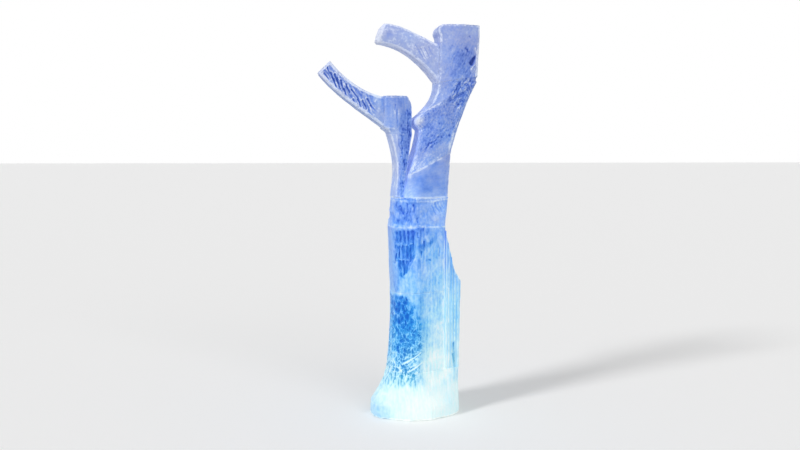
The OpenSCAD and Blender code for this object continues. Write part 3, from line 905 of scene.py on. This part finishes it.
def carve_limb(skin):
    """The lower limb: small bark cells, dark patches low down, bright edges and the knuckle with its
    painted highlight.
    """
    p, n = skin.places, skin.normals
    x, z = p[:, 0], p[:, 2]
    bend = bent(p, 0.02, 0.006, 2.0)
    ridge, pick = cells(bend, np.array((0.015, 0.020, 0.019)), 2.0)
    low = ramp(1.655 + 0.55 * x - z, -0.030, 0.030)
    side = 1 - 0.6 * ramp(n[:, 0], 0.5, 0.9)
    scoop = ramp(ridge, 0.06, 0.45) * (0.5 + 0.5 * pick) * (1 - low) * side
    bark = swept(bend, 62, 0.035, 0.011, 3.0) * (1 - low)
    scratch = swept(bend, 40, 0.024, 0.008, 6.0)
    tone = lumps(p, 0.06, 4.0)
    dark = ramp(1.78 - z, 0.0, 0.12) * ramp(x, -0.02, 0.05) * (1 - low)
    gap = strokes(bend, LIMB_CUTS, 9.0)
    deep = furrow(gap)
    bright = furrow(strokes(bend, LIMB_EDGES, 14.0))
    saw = furrow(strokes(bend, THIN_STRANDS, 6.5)) + furrow(strokes(bend, STRANDS, 14.0))
    knuckle = np.exp(-((x - KNUCKLE[0]) ** 2 + (z - KNUCKLE[1]) ** 2) / KNUCKLE_WIDE ** 2)
    line = 1 - ramp(ridge, 0.0, 0.15)
    frost = 0.57 + 0.08 * tone - 0.16 * scoop + 0.11 * bark + 0.08 * scratch * (1 - 0.6 * low) - 0.10 * dark
    frost += 0.06 * ramp(z, 1.82, 1.95) + 0.08 * line + low * (0.12 + 0.11 * np.minimum(saw, 1.2))
    frost += (1 - low) * (0.14 * burr(gap) - 0.26 * deep)
    crushed_cut, crushed_frost = crushed(p)
    # the knuckle's pale spot is a painted highlight, tinted cream through its warm value
    frost += 0.32 * bright + 0.28 * knuckle + crushed_frost
    cut = crushed_cut + 1.6 + 0.7 * tone + (2.4 * scoop - 0.8 * bark) * (1 - knuckle)
    cut += 4.0 * deep * (1 - low)
    return cut, frost, knuckle + 0.15 * (1 - ramp(z, 1.8, 1.95)) * ramp(tone, 0, 0.8)


print("the limb has", len(LIMB_CUTS), "cuts, and the knuckle is at", KNUCKLE)

# %% Carve the upper limb
CHUNKS = [(241, 2109, 268, 2061), (232, 2040, 240, 2028), (186, 2013, 212, 1989), (276, 2069, 316, 2015)]
FIBRES = [
    (365, 2223, 332, 2166), (332, 2166, 287, 2113), (287, 2113, 251, 2065), (353, 2198, 300, 2122),
    (300, 2122, 263, 2077), (348, 2103, 332, 2047), (360, 2160, 352, 2100), (251, 2065, 222, 2030),
    (374, 2330, 369, 2250), (369, 2250, 373, 2170), (373, 2170, 352, 2090), (340, 2150, 300, 2060)]


def carve_upper_limb(skin):
    """The upper limb: smooth at its left, chunks with light rims and fibres at its right."""
    p = skin.places
    x = p[:, 0]
    face = front_and_back(skin, 0.3, 0.7)
    bend = bent(p, 0.025, 0.007, 7.0)
    ridge, pick = cells(bend, np.array((0.020, 0.026, 0.030)), 7.0)
    right = ramp(x + 0.03 * lumps(p, 0.04, 3.0), 0.14, 0.22) * (0.4 + 0.6 * face)
    scoop = ramp(ridge, 0.06, 0.5) * (0.4 + 0.6 * pick)
    thread = swept(bend, 54, 0.040, 0.009, 8.0)
    chunk = furrow(strokes(bend, CHUNKS, 11.0))
    fibre = furrow(strokes(bend, FIBRES, 6.5))
    frost = 0.70 + 0.07 * lumps(p, 0.04, 2.0) + (0.05 + 0.11 * right) * thread - 0.14 * right
    frost -= (0.05 + 0.14 * right) * scoop
    crushed_cut, crushed_frost = crushed(p)
    frost += face * (0.26 * fibre - 0.30 * chunk) + crushed_frost
    cut = crushed_cut + 1.4 + (1.0 + 3.5 * right) * scoop + face * 5.0 * chunk * (1 - fibre)
    return cut, frost, 0.15 * (1 - right)


print(len(CHUNKS), "chunks and", len(FIBRES), "fibres in the upper limb")

# %% [markdown]
# ## The head and the right arm
# The head is smooth and frosted at the left and at the top. Its right part is rough blue ice with long
# faint streaks and one deep hole beside a white rim. The right arm is plain and frosted, with a few
# chisel cuts where it joins the head and a shallow round dimple near its end. The rough part could be a
# second piece let into the head. An outline with a soft, wandering edge does the same in one mesh, and
# the hole is deep enough to throw a shadow, which no painted spot would do.

# %% Carve the head
HOLE = [(326, 2226, 350, 2262)]
SMALL_HOLES = [(289, 2318, 304, 2294), (313, 2389, 317, 2381)]
WHITE_RIM = [(322, 2190, 356, 2226), (356, 2226, 364, 2262), (362, 2262, 368, 2180), (352, 2320, 362, 2280)]
STREAKS = [
    (227, 2299, 206, 2220), (206, 2220, 177, 2141), (268, 2283, 238, 2204), (238, 2204, 208, 2125),
    (195, 2331, 182, 2253), (182, 2253, 161, 2174), (300, 2262, 262, 2190)]
ROUGH = [
    (188, 2335), (215, 2352), (300, 2340), (352, 2300), (372, 2240), (372, 2095), (150, 2095), (172, 2200)]
HOLE_DEEP, SMALL_HOLE_DEEP = 16.0, 6.0


def plain_rime(p):
    """Cut and frost of plain rime, which the head and the right arm share."""
    slow = lumps(p, 0.05, 6.0)
    patch = lumps(p, 0.024, 18.0)
    fine = lumps(p, 0.012, 12.0)
    return 1.6 + 0.8 * slow + 0.4 * patch + 0.3 * fine, 0.74 + 0.06 * slow + 0.05 * patch + 0.05 * fine


def carve_head(skin):
    """The head: smooth left and top, rough right part with streaks, a hole and its white rim."""
    p = skin.places
    x, z = p[:, 0], p[:, 2]
    face = front_and_back(skin, 0.3, 0.7)
    bend = bent(p, 0.03, 0.006, 2.0)
    rough = ramp(inside(bend, ROUGH) + 0.022 * lumps(p, 0.035, 2.0), -0.035, 0.060)
    ridge, pick = cells(bend, np.array((0.016, 0.022, 0.026)), 5.0)
    thread = swept(bend, 66, 0.045, 0.009, 8.0)
    scoop = ramp(ridge, 0.06, 0.5) * (0.3 + 0.7 * pick)
    hole = furrow(strokes(bend, HOLE, 17.0)) * face
    small = furrow(strokes(p, SMALL_HOLES, 9.0)) * face
    rim_line = furrow(strokes(bend, WHITE_RIM, 8.0)) * face
    streak = furrow(strokes(bend, STREAKS, 8.0)) * face
    fibre = furrow(strokes(bend, FIBRES, 5.0)) * face
    plain_cut, plain = plain_rime(p)
    line = 1 - ramp(ridge, 0.0, 0.15)
    edge = ramp(skin.turn, 0.003, 0.012) * ramp(x, 0.30, 0.34) * ramp(2.33 - z, 0, 0.05)
    edge = edge * ramp(lumps(p, 0.03, 16.0), -0.5, 0.2)
    frost = plain - 0.05 + 0.35 * edge - rough * (0.14 + 0.12 * scoop - 0.06 * line)
    frost += (0.04 + 0.08 * rough) * thread
    crushed_cut, crushed_frost = crushed(p)
    frost += 0.24 * fibre + 0.40 * rim_line - 0.08 * streak - 1.3 * hole - 0.45 * small + crushed_frost
    cut = plain_cut + crushed_cut + rough * (1.8 * scoop - 0.6 * thread) + 1.5 * streak
    cut += HOLE_DEEP * hole + SMALL_HOLE_DEEP * small
    return cut * (1 - 0.6 * rim_line), frost, 0.36 * (1 - rough)


print("the hole is", HOLE_DEEP, "mm deeper than the face around it")

# %% Carve the right arm
ELBOW_CUTS = [
    (-24, 2334, 26, 2262), (-10, 2306, 40, 2234), (10, 2312, 52, 2240), (34, 2318, 66, 2254),
    (60, 2320, 84, 2270)]
ELBOW_DEEP = 3.5
DIMPLE, DIMPLE_WIDE, DIMPLE_DEEP = (-0.178, 2.398), 0.020, 3.5
LIP_AT, LIP_WIDE = 0.034, 0.010


def carve_right_arm(skin):
    """The right arm: plain rime, thin cuts at the elbow, a dimple and a brighter sawn end."""
    p = skin.places
    x, z = p[:, 0], p[:, 2]
    face = front_and_back(skin, 0.4, 0.8)
    gap = strokes(bent(p, 0.03, 0.003, 4.0), ELBOW_CUTS, 4.5)
    away = np.hypot(x - DIMPLE[0], z - DIMPLE[1])
    dimple = np.exp(-(away / DIMPLE_WIDE) ** 2) * face
    lip = np.exp(-((away - LIP_AT) / LIP_WIDE) ** 2) * face
    end = ramp(-0.20 - x, 0, 0.04)
    plain_cut, plain = plain_rime(p)
    frost = plain + 0.04 + 0.12 * end - 0.18 * dimple + 0.08 * lip
    frost += face * (0.08 * burr(gap) - 0.30 * furrow(gap))
    cut = plain_cut + ELBOW_DEEP * face * furrow(gap) + DIMPLE_DEEP * dimple
    return cut, frost, 0.38 + 0.4 * end


print(len(ELBOW_CUTS), "cuts at the elbow, and a dimple", DIMPLE_DEEP, "mm deep")

# %% [markdown]
# ## Arrises
# The arrises of a real block are chipped and melted round, and rime gathers on them. Their whitening here
# is partly that rime and partly a painted highlight, where light catches the thin edges. A bevel modifier
# would round them all alike. So the turn of the surface is measured: the net is softened in a copy, and
# where a vertex then sinks in and its normals no longer agree, it was on an arris.

# %% Find the arrises
SOFT_SHARE, SOFT_ROUNDS = 0.5, 14
FLAT = 0.0001
CHIP_SIZE, CHIP_DEEP = 0.018, 3.0
BITE_SIZE, BITE_DEEP = 0.055, 4.0


def find_turn(places, normals, ends):
    """How sharply the surface turns outward at each vertex: 0 on a flat face, more on an arris."""
    share = np.full(len(places), SOFT_SHARE)
    soft = soften(np.hstack((places, normals)), ends, share, SOFT_ROUNDS)
    bulge = ramp(((places - soft[:, :3]) * normals).sum(axis=1), -FLAT, FLAT)
    return bulge * (1 - np.linalg.norm(soft[:, 3:], axis=1))


def chip(places, rim):
    """Small chips and longer bites along the arrises: where the chips are, and how deep both go in mm."""
    chips = rim * ramp(lumps(places, CHIP_SIZE, 21.0), -0.1, 0.6)
    bites = rim * ramp(lumps(places, BITE_SIZE, 23.0), -0.1, 0.6)
    return chips, CHIP_DEEP * chips + BITE_DEEP * bites


print("arrises are chipped up to", CHIP_DEEP + BITE_DEEP, "mm deep")

# %% [markdown]
# ## Rime, hoar frost and painted light
# The free arrises are whitened: partly rime, partly a painted highlight where light catches the thin edges.
# Hoar frost lies in the open joints, and every joint gets a little painted light against the shade in its
# hairline. High up, the sides that face down or left catch more of the light and are paler. All this could
# be painted by hand, but the shape itself already tells where it belongs: the turn of the surface, the way
# to the joint and the normal.

# %% Whiten the frost
HIGH_UP = (1.45, 1.60)
RIME_AND_HIGHLIGHT, SEAM_WHITE, JOINT_SHADE_FILL, SIDE_WHITE = 0.26, 0.26, 0.10, 0.16
CRACK_FROST, CRACK_SHARE = 0.80, 0.7


def whiten(frost, skin, rim, chips, seam, shown, through):
    """The frost with all that lies on it: painted light on the pale sides, the thin walls of the crack,
    rime and painted highlight on the arrises, seams, and painted light in every joint.
    """
    places, normals = skin.places, skin.normals
    height = places[:, 2]
    pale_side = np.maximum(ramp(-normals[:, 2], 0.3, 0.7), 0.6 * ramp(-normals[:, 0], 0.4, 0.8))
    frost = frost + SIDE_WHITE * pale_side * ramp(height, *HIGH_UP) * ramp(places[:, 0], -0.30, -0.20)
    frost += (CRACK_FROST - frost) * CRACK_SHARE * through
    # arrises high up are whitened: partly rime, partly painted highlight
    soft_rim_highlight = 0.8 * ramp(skin.turn, 0.005, 0.022) * ramp(height, 1.40, 1.50)
    rim = np.maximum(rim, soft_rim_highlight) * ramp(seam, 0.004, 0.022)
    hoar = (1 - ramp(shown, 0.001, 0.009)) * ramp(lumps(places, 0.03, 22.0), -0.7, 0.2)
    # the joint term is painted light that lightens the shade in the hairline of every joint
    return (frost + RIME_AND_HIGHLIGHT * rim * (1 - 0.6 * chips) + SEAM_WHITE * hoar
        + JOINT_SHADE_FILL * (1 - ramp(seam, 0.001, 0.005)))


# the rime figure includes painted highlight on the arrises, and the joint figure painted light in every
# joint
print("rime adds up to", RIME_AND_HIGHLIGHT, "and a joint up to", SEAM_WHITE + JOINT_SHADE_FILL, "to the frost")

# %% [markdown]
# ## Cut the blanks
# Every vertex moves straight in, never out, so no block grows past its solid. A displace modifier could
# do it, but it knows nothing of the neighbours. Beside a joint the cut fades to the same small depth on
# both blocks, so they stay flush. Frost, light, warm tint and the crack's light are kept on the vertices
# for the materials: frost 0 is clear deep ice, and 1 is white rime.

# %% Cut one blank
JOINT_GAP = 0.0002
FOOT_TOP = 0.30
MELTED = 1.0
WORN_SHARE, WORN_ROUNDS = 0.5, 4
LAST_SHARE = 0.35
CARVERS = {
    "foot_block": (carve_lower, "foot_ice"),
    "trunk_base": (carve_lower, "trunk_ice"),
    "trunk_middle": (carve_middle, "trunk_ice"),
    "trunk_collar": (carve_collar, "trunk_ice"),
    "side_slab": (carve_slab, "slab_ice"),
    "fork_block": (carve_fork, "clear_ice"),
    "left_stem": (carve_stem, "bark_ice"),
    "left_stem_head": (carve_stem, "frosted_ice"),
    "left_arm": (carve_left_arm, "bark_ice"),
    "right_limb_lower": (carve_limb, "bark_ice"),
    "right_limb_upper": (carve_upper_limb, "bark_ice"),
    "right_head": (carve_head, "frosted_ice"),
    "right_arm": (carve_right_arm, "frosted_ice"),
}


def keep(mesh, label, values):
    """Stores one number a vertex, from 0 to 1, for the materials to read."""
    made = mesh.attributes.new(label, "FLOAT", "POINT")
    made.data.foreach_set("value", np.clip(values, 0, 1).astype(np.float32))


def cut_block(node):
    """Carves one block and stores what its material reads. It returns the piece and its slot."""
    carve, slot = CARVERS[node]
    piece = blank(node)
    mesh = piece.data
    places = read(mesh.vertices, "co", 3)
    seam, shown = seam_distance(node, places)
    outside, normals, joint_normals, hidden = outer_normals(node, mesh, seam)
    ends = read(mesh.edges, "vertices", 2, np.int32)
    ends = ends[outside[ends].all(axis=1)]
    turn = find_turn(places, normals, ends)
    # arrises: chipped in the cut, and whitened partly as rime, partly as painted highlight
    rim = ramp(turn, 0.012, 0.05) * ramp(np.abs(places[:, 2] - FOOT_TOP), 0.008, 0.03)
    places = soften(places, ends, WORN_SHARE * ramp(seam, 0.004, 0.02), WORN_ROUNDS)
    skin = Surface(places, normals, turn)
    cut, frost, warm = carve(skin)
    chips, chipped = chip(places, rim)
    free = ramp(seam, 0.002, 0.012)
    cut = MELTED + (np.maximum(cut, 0) - MELTED + chipped) * free
    through = through_light(places, normals)
    frost = whiten(frost, skin, rim, chips, seam, shown, through)
    places = places - (normals * cut[:, None] * outside[:, None]) / MM - joint_normals * JOINT_GAP
    places = soften(places, ends, LAST_SHARE * free, 1)
    mesh.vertices.foreach_set("co", places.ravel())
    mesh.polygons.foreach_set("use_smooth", ~hidden)
    keep(mesh, "frost", frost)
    keep(mesh, "light", light_from_below(places))
    keep(mesh, "warm", warm)
    keep(mesh, "through", through)
    mesh.update()
    return piece, slot


print("blocks to cut:", len(CARVERS))

# %% [markdown]
# ## Building with nodes
# A material is a set of nodes joined by links. They could be laid out with the mouse. Written as short
# helpers, each of which adds one node and joins it, the same steps can be read from top to bottom.

# %% Helpers for nodes
def new_group(name, inputs, outputs):
    """A shader node group with named sockets, each input with the value it starts from."""
    group = bpy.data.node_groups.new(name, "ShaderNodeTree")
    for label, kind, value in inputs:
        socket = group.interface.new_socket(name=label, in_out="INPUT", socket_type="NodeSocket" + kind)
        socket.default_value = value
    for label, kind in outputs:
        group.interface.new_socket(name=label, in_out="OUTPUT", socket_type="NodeSocket" + kind)
    given = group.nodes.new("NodeGroupInput")
    result = group.nodes.new("NodeGroupOutput")
    return group, given.outputs, result.inputs


def math_node(tree, operation, first, second):
    """A math node. Each of first and second is a socket or a number."""
    node = tree.nodes.new("ShaderNodeMath")
    node.operation = operation
    for k, value in enumerate((first, second)):
        if isinstance(value, (int, float)):
            node.inputs[k].default_value = value
        else:
            tree.links.new(value, node.inputs[k])
    return node.outputs[0]


def span_node(tree, value, low, high, to_low=0.0, to_high=1.0):
    """Maps low..high to to_low..to_high, clamped."""
    node = tree.nodes.new("ShaderNodeMapRange")
    for label, number in (("From Min", low), ("From Max", high), ("To Min", to_low), ("To Max", to_high)):
        node.inputs[label].default_value = number
    tree.links.new(value, node.inputs["Value"])
    return node.outputs["Result"]


def mix_node(tree, share, first, second):
    """Mixes two colours, given as sockets or as colours."""
    node = tree.nodes.new("ShaderNodeMix")
    node.data_type = "RGBA"
    share_in, first_in, second_in, colour_out = 0, 6, 7, 2
    for index, value in ((first_in, first), (second_in, second)):
        if isinstance(value, tuple):
            node.inputs[index].default_value = value
        else:
            tree.links.new(value, node.inputs[index])
    tree.links.new(share, node.inputs[share_in])
    return node.outputs[colour_out]


def ramp_node(tree, value, stops):
    """A colour ramp with the stops given as place and colour."""
    node = tree.nodes.new("ShaderNodeValToRGB")
    while len(node.color_ramp.elements) < len(stops):
        node.color_ramp.elements.new(0.5)
    for element, (position, colour) in zip(node.color_ramp.elements, stops):
        element.position = position
        element.color = (*colour, 1)
    tree.links.new(value, node.inputs["Fac"])
    return node.outputs["Color"]


print("node helpers ready")

# %% [markdown]
# ## Ice colours
# Ice is blue where light has gone a long way through it and white where tiny cracks and rime scatter it.
# Real see-through ice could be left to find its own colour, but that takes very many samples, and the
# colour would be lost when the part is exported. So a ramp from deep blue to pale follows the frost.
# Light changes the whole ramp: cold lilac-blue high up, clear blue in the trunk, cyan in the base and
# white in the foot. The ramps are one node group that all finishes share, so the colour runs on
# unbroken from block to block.

# %% Group: ice colour
COLD_ICE = [
    (0.0, (0.020, 0.060, 0.34)), (0.30, (0.080, 0.150, 0.52)), (0.55, (0.175, 0.265, 0.65)),
    (0.80, (0.305, 0.380, 0.66)), (1.0, (0.66, 0.72, 0.90))]
BLUE_ICE = [
    (0.0, (0.010, 0.065, 0.48)), (0.30, (0.050, 0.180, 0.72)), (0.55, (0.170, 0.380, 0.90)),
    (0.80, (0.360, 0.570, 0.97)), (1.0, (0.66, 0.82, 1.0))]
CYAN_ICE = [
    (0.0, (0.006, 0.130, 0.56)), (0.30, (0.040, 0.330, 0.76)), (0.55, (0.240, 0.600, 0.90)),
    (0.80, (0.480, 0.780, 0.94)), (1.0, (0.80, 0.96, 0.98))]
WHITE_ICE = [
    (0.0, (0.05, 0.33, 0.53)), (0.30, (0.26, 0.56, 0.67)), (0.55, (0.48, 0.71, 0.78)),
    (0.80, (0.67, 0.79, 0.79)), (1.0, (0.79, 0.83, 0.80))]
# the cream stop at the top of the ramp tints the knuckle's painted highlight
WARM_TINTS = [(0.5, (0.60, 0.59, 0.73)), (1.0, (0.74, 0.73, 0.66))]
WARM_SHARE = 0.45
BLUE_FROM, CYAN_FROM, WHITE_FROM = 0.35, 0.66, 1.0
GLOW, GLOW_FALL = 0.2, 3.0
# a painted glow: a faint emission on all the ice that lightens its shade
SHADE_FILL_GLOW = 0.12
THROUGH_LIGHT = 0.14
BLACK = (0, 0, 0, 1)

ice, given, result = new_group(
    "ice colour",
    [("Frost", "Float", 0.5), ("Light", "Float", 0.0), ("Warm", "Float", 0.0), ("Through", "Float", 0.0),
     ("Glow", "Float", GLOW)],
    [("Color", "Color"), ("Emission", "Color")])
blue = span_node(ice, given["Light"], 0.0, BLUE_FROM)
cyan = span_node(ice, given["Light"], BLUE_FROM, CYAN_FROM)
white = span_node(ice, given["Light"], CYAN_FROM, WHITE_FROM)
colour = ramp_node(ice, given["Frost"], COLD_ICE)
for share, stops in ((blue, BLUE_ICE), (cyan, CYAN_ICE), (white, WHITE_ICE)):
    colour = mix_node(ice, share, colour, ramp_node(ice, given["Frost"], stops))
warm = ramp_node(ice, given["Warm"], WARM_TINTS)
tinted = mix_node(ice, math_node(ice, "MULTIPLY", given["Warm"], WARM_SHARE), colour, warm)
ice.links.new(tinted, result["Color"])
# the emission is painted light: glow from the light below, a faint glow in the shade everywhere, and light
# through the crack
inner = math_node(ice, "POWER", given["Light"], GLOW_FALL)
level = math_node(ice, "MULTIPLY", inner, given["Glow"])
level = math_node(ice, "ADD", level, SHADE_FILL_GLOW)
through = math_node(ice, "MULTIPLY", given["Through"], THROUGH_LIGHT)
level = math_node(ice, "ADD", level, through)
ice.links.new(mix_node(ice, level, BLACK, colour), result["Emission"])
print("ice colour group:", len(ice.nodes), "nodes")

# %% [markdown]
# ## Frost grain
# Between the carved marks the ice is grainy: grey specks of air, and tiny facets that sparkle. They are
# smaller than the net, so they can't be cut into the mesh without millions of faces. A noise and a
# Voronoi pattern give them as values: a little more or less frost, the height for a bump, and a
# roughness that goes from wet clear ice to dull rime. Each finish sets its own size and strength.

# %% Group: frost grain
SPECK = 0.16
GRAIN_DETAIL, GRAIN_ROUGH = 5.0, 0.65
FACET_SCALE, FACET_HEIGHT = 2.2, 0.5
WET, DULL = 0.16, 0.55

grain, given, result = new_group(
    "frost grain",
    [("Frost", "Float", 0.5), ("Size", "Float", 60.0), ("Streak", "Float", 1.0),
     ("Contrast", "Float", 1.0)],
    [("Frost", "Float"), ("Height", "Float"), ("Roughness", "Float")])
nodes, links = grain.nodes, grain.links
place = nodes.new("ShaderNodeTexCoord")
stretch = nodes.new("ShaderNodeVectorMath")
stretch.operation = "MULTIPLY"
axes = nodes.new("ShaderNodeCombineXYZ")
axes.inputs["X"].default_value = 1.0
axes.inputs["Y"].default_value = 1.0
links.new(given["Streak"], axes.inputs["Z"])
links.new(place.outputs["Object"], stretch.inputs[0])
links.new(axes.outputs[0], stretch.inputs[1])
coarse = nodes.new("ShaderNodeTexNoise")
coarse.inputs["Detail"].default_value = GRAIN_DETAIL
coarse.inputs["Roughness"].default_value = GRAIN_ROUGH
links.new(stretch.outputs[0], coarse.inputs["Vector"])
links.new(given["Size"], coarse.inputs["Scale"])
facets = nodes.new("ShaderNodeTexVoronoi")
links.new(stretch.outputs[0], facets.inputs["Vector"])
links.new(math_node(grain, "MULTIPLY", given["Size"], FACET_SCALE), facets.inputs["Scale"])
speckle = span_node(grain, coarse.outputs["Fac"], 0.3, 0.7, -SPECK, SPECK)
speckle = math_node(grain, "MULTIPLY", speckle, given["Contrast"])
links.new(math_node(grain, "ADD", given["Frost"], speckle), result["Frost"])
bumpy = math_node(grain, "MULTIPLY", facets.outputs["Distance"], FACET_HEIGHT)
links.new(math_node(grain, "ADD", coarse.outputs["Fac"], bumpy), result["Height"])
links.new(span_node(grain, given["Frost"], 0.1, 0.9, WET, DULL), result["Roughness"])
print("frost grain group:", len(nodes), "nodes")

# %% [markdown]
# ## The six finishes
# The blocks differ in how clear and how coarse they are: the fork block is the clearest, the bark of the
# limb the coarsest, and the head is rimed all over. One material with more inputs could serve them all,
# but a reader of the part should find each finish by its own name. So one loop makes six materials from
# the same two groups. The Principled shader stays in each, with the index of refraction of ice.

# %% Make the finishes
FINISHES = {
    # slot: grain size, streak, contrast, bump, transmission
    "foot_ice": (50, 0.35, 0.5, 0.25, 0.10),
    "trunk_ice": (60, 0.6, 0.9, 0.35, 0.15),
    "slab_ice": (70, 0.15, 0.7, 0.25, 0.15),
    "clear_ice": (45, 0.8, 0.5, 0.18, 0.20),
    "bark_ice": (75, 0.8, 1.0, 0.45, 0.10),
    "frosted_ice": (85, 0.9, 0.8, 0.35, 0.06),
}
ICE_IOR = 1.31
ICE_SHINE = 0.2
BUMP_DEPTH = 0.004


def use_group(tree, group, values):
    """Places a group in a material. Each value is a number, or a socket to link."""
    node = tree.nodes.new("ShaderNodeGroup")
    node.node_tree = group
    for label, value in values.items():
        if isinstance(value, (int, float)):
            node.inputs[label].default_value = value
        else:
            tree.links.new(value, node.inputs[label])
    return node.outputs


made = {}
for slot, (size, streak, contrast, bump_strength, see_through) in FINISHES.items():
    material, nodes, links = new_material(slot)
    carved = {}
    for label in ("frost", "light", "warm", "through"):
        attribute = nodes.new("ShaderNodeAttribute")
        attribute.attribute_name = label
        carved[label] = attribute.outputs["Fac"]
    grit = use_group(material.node_tree, grain, {
        "Frost": carved["frost"], "Size": size, "Streak": streak, "Contrast": contrast})
    tint = use_group(material.node_tree, ice, {
        "Frost": grit["Frost"], "Light": carved["light"], "Warm": carved["warm"],
        "Through": carved["through"]})
    bump = nodes.new("ShaderNodeBump")
    bump.inputs["Strength"].default_value = bump_strength
    bump.inputs["Distance"].default_value = BUMP_DEPTH
    links.new(grit["Height"], bump.inputs["Height"])
    shader = nodes.new("ShaderNodeBsdfPrincipled")
    shader.inputs["IOR"].default_value = ICE_IOR
    shader.inputs["Specular IOR Level"].default_value = ICE_SHINE
    shader.inputs["Transmission Weight"].default_value = see_through
    shader.inputs["Emission Strength"].default_value = 1.0
    links.new(tint["Color"], shader.inputs["Base Color"])
    links.new(tint["Emission"], shader.inputs["Emission Color"])
    links.new(grit["Roughness"], shader.inputs["Roughness"])
    links.new(bump.outputs["Normal"], shader.inputs["Normal"])
    output = nodes.new("ShaderNodeOutputMaterial")
    links.new(shader.outputs["BSDF"], output.inputs["Surface"])
    made[slot] = material
print("finishes:", sorted(made))

# %% [markdown]
# ## All thirteen blocks
# Each block of the tree is cut and gets its finish. Joined into one mesh they would be simpler to
# handle, but then no block could be taken off, moved or given another finish. So each stays a piece of
# its own that takes the place of its solid.

# %% Cut every block and dress it
all_triangles = 0
for node in CARVERS:
    piece, slot = cut_block(node)
    piece.data.materials.clear()
    piece.data.materials.append(made[slot])
    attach(piece, "root")
    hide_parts(node)
    triangles = len(piece.data.polygons) * 2
    all_triangles += triangles
    print(node, triangles, "triangles")
print("all:", all_triangles, "triangles")

# %% [markdown]
# ## Sizes as plain numbers
# A part that grows past its solids would not fit where its sizes say it does. The ice could be measured by
# eye, but numbers are surer, so a box, such as that of a solid from the first cell, is turned into plain
# lists of numbers.

# %% Sizes as plain numbers
bpy.context.view_layer.update()


def plain(box):
    """A box as plain lists of numbers."""
    return [[float(v) for v in corner] for corner in box]
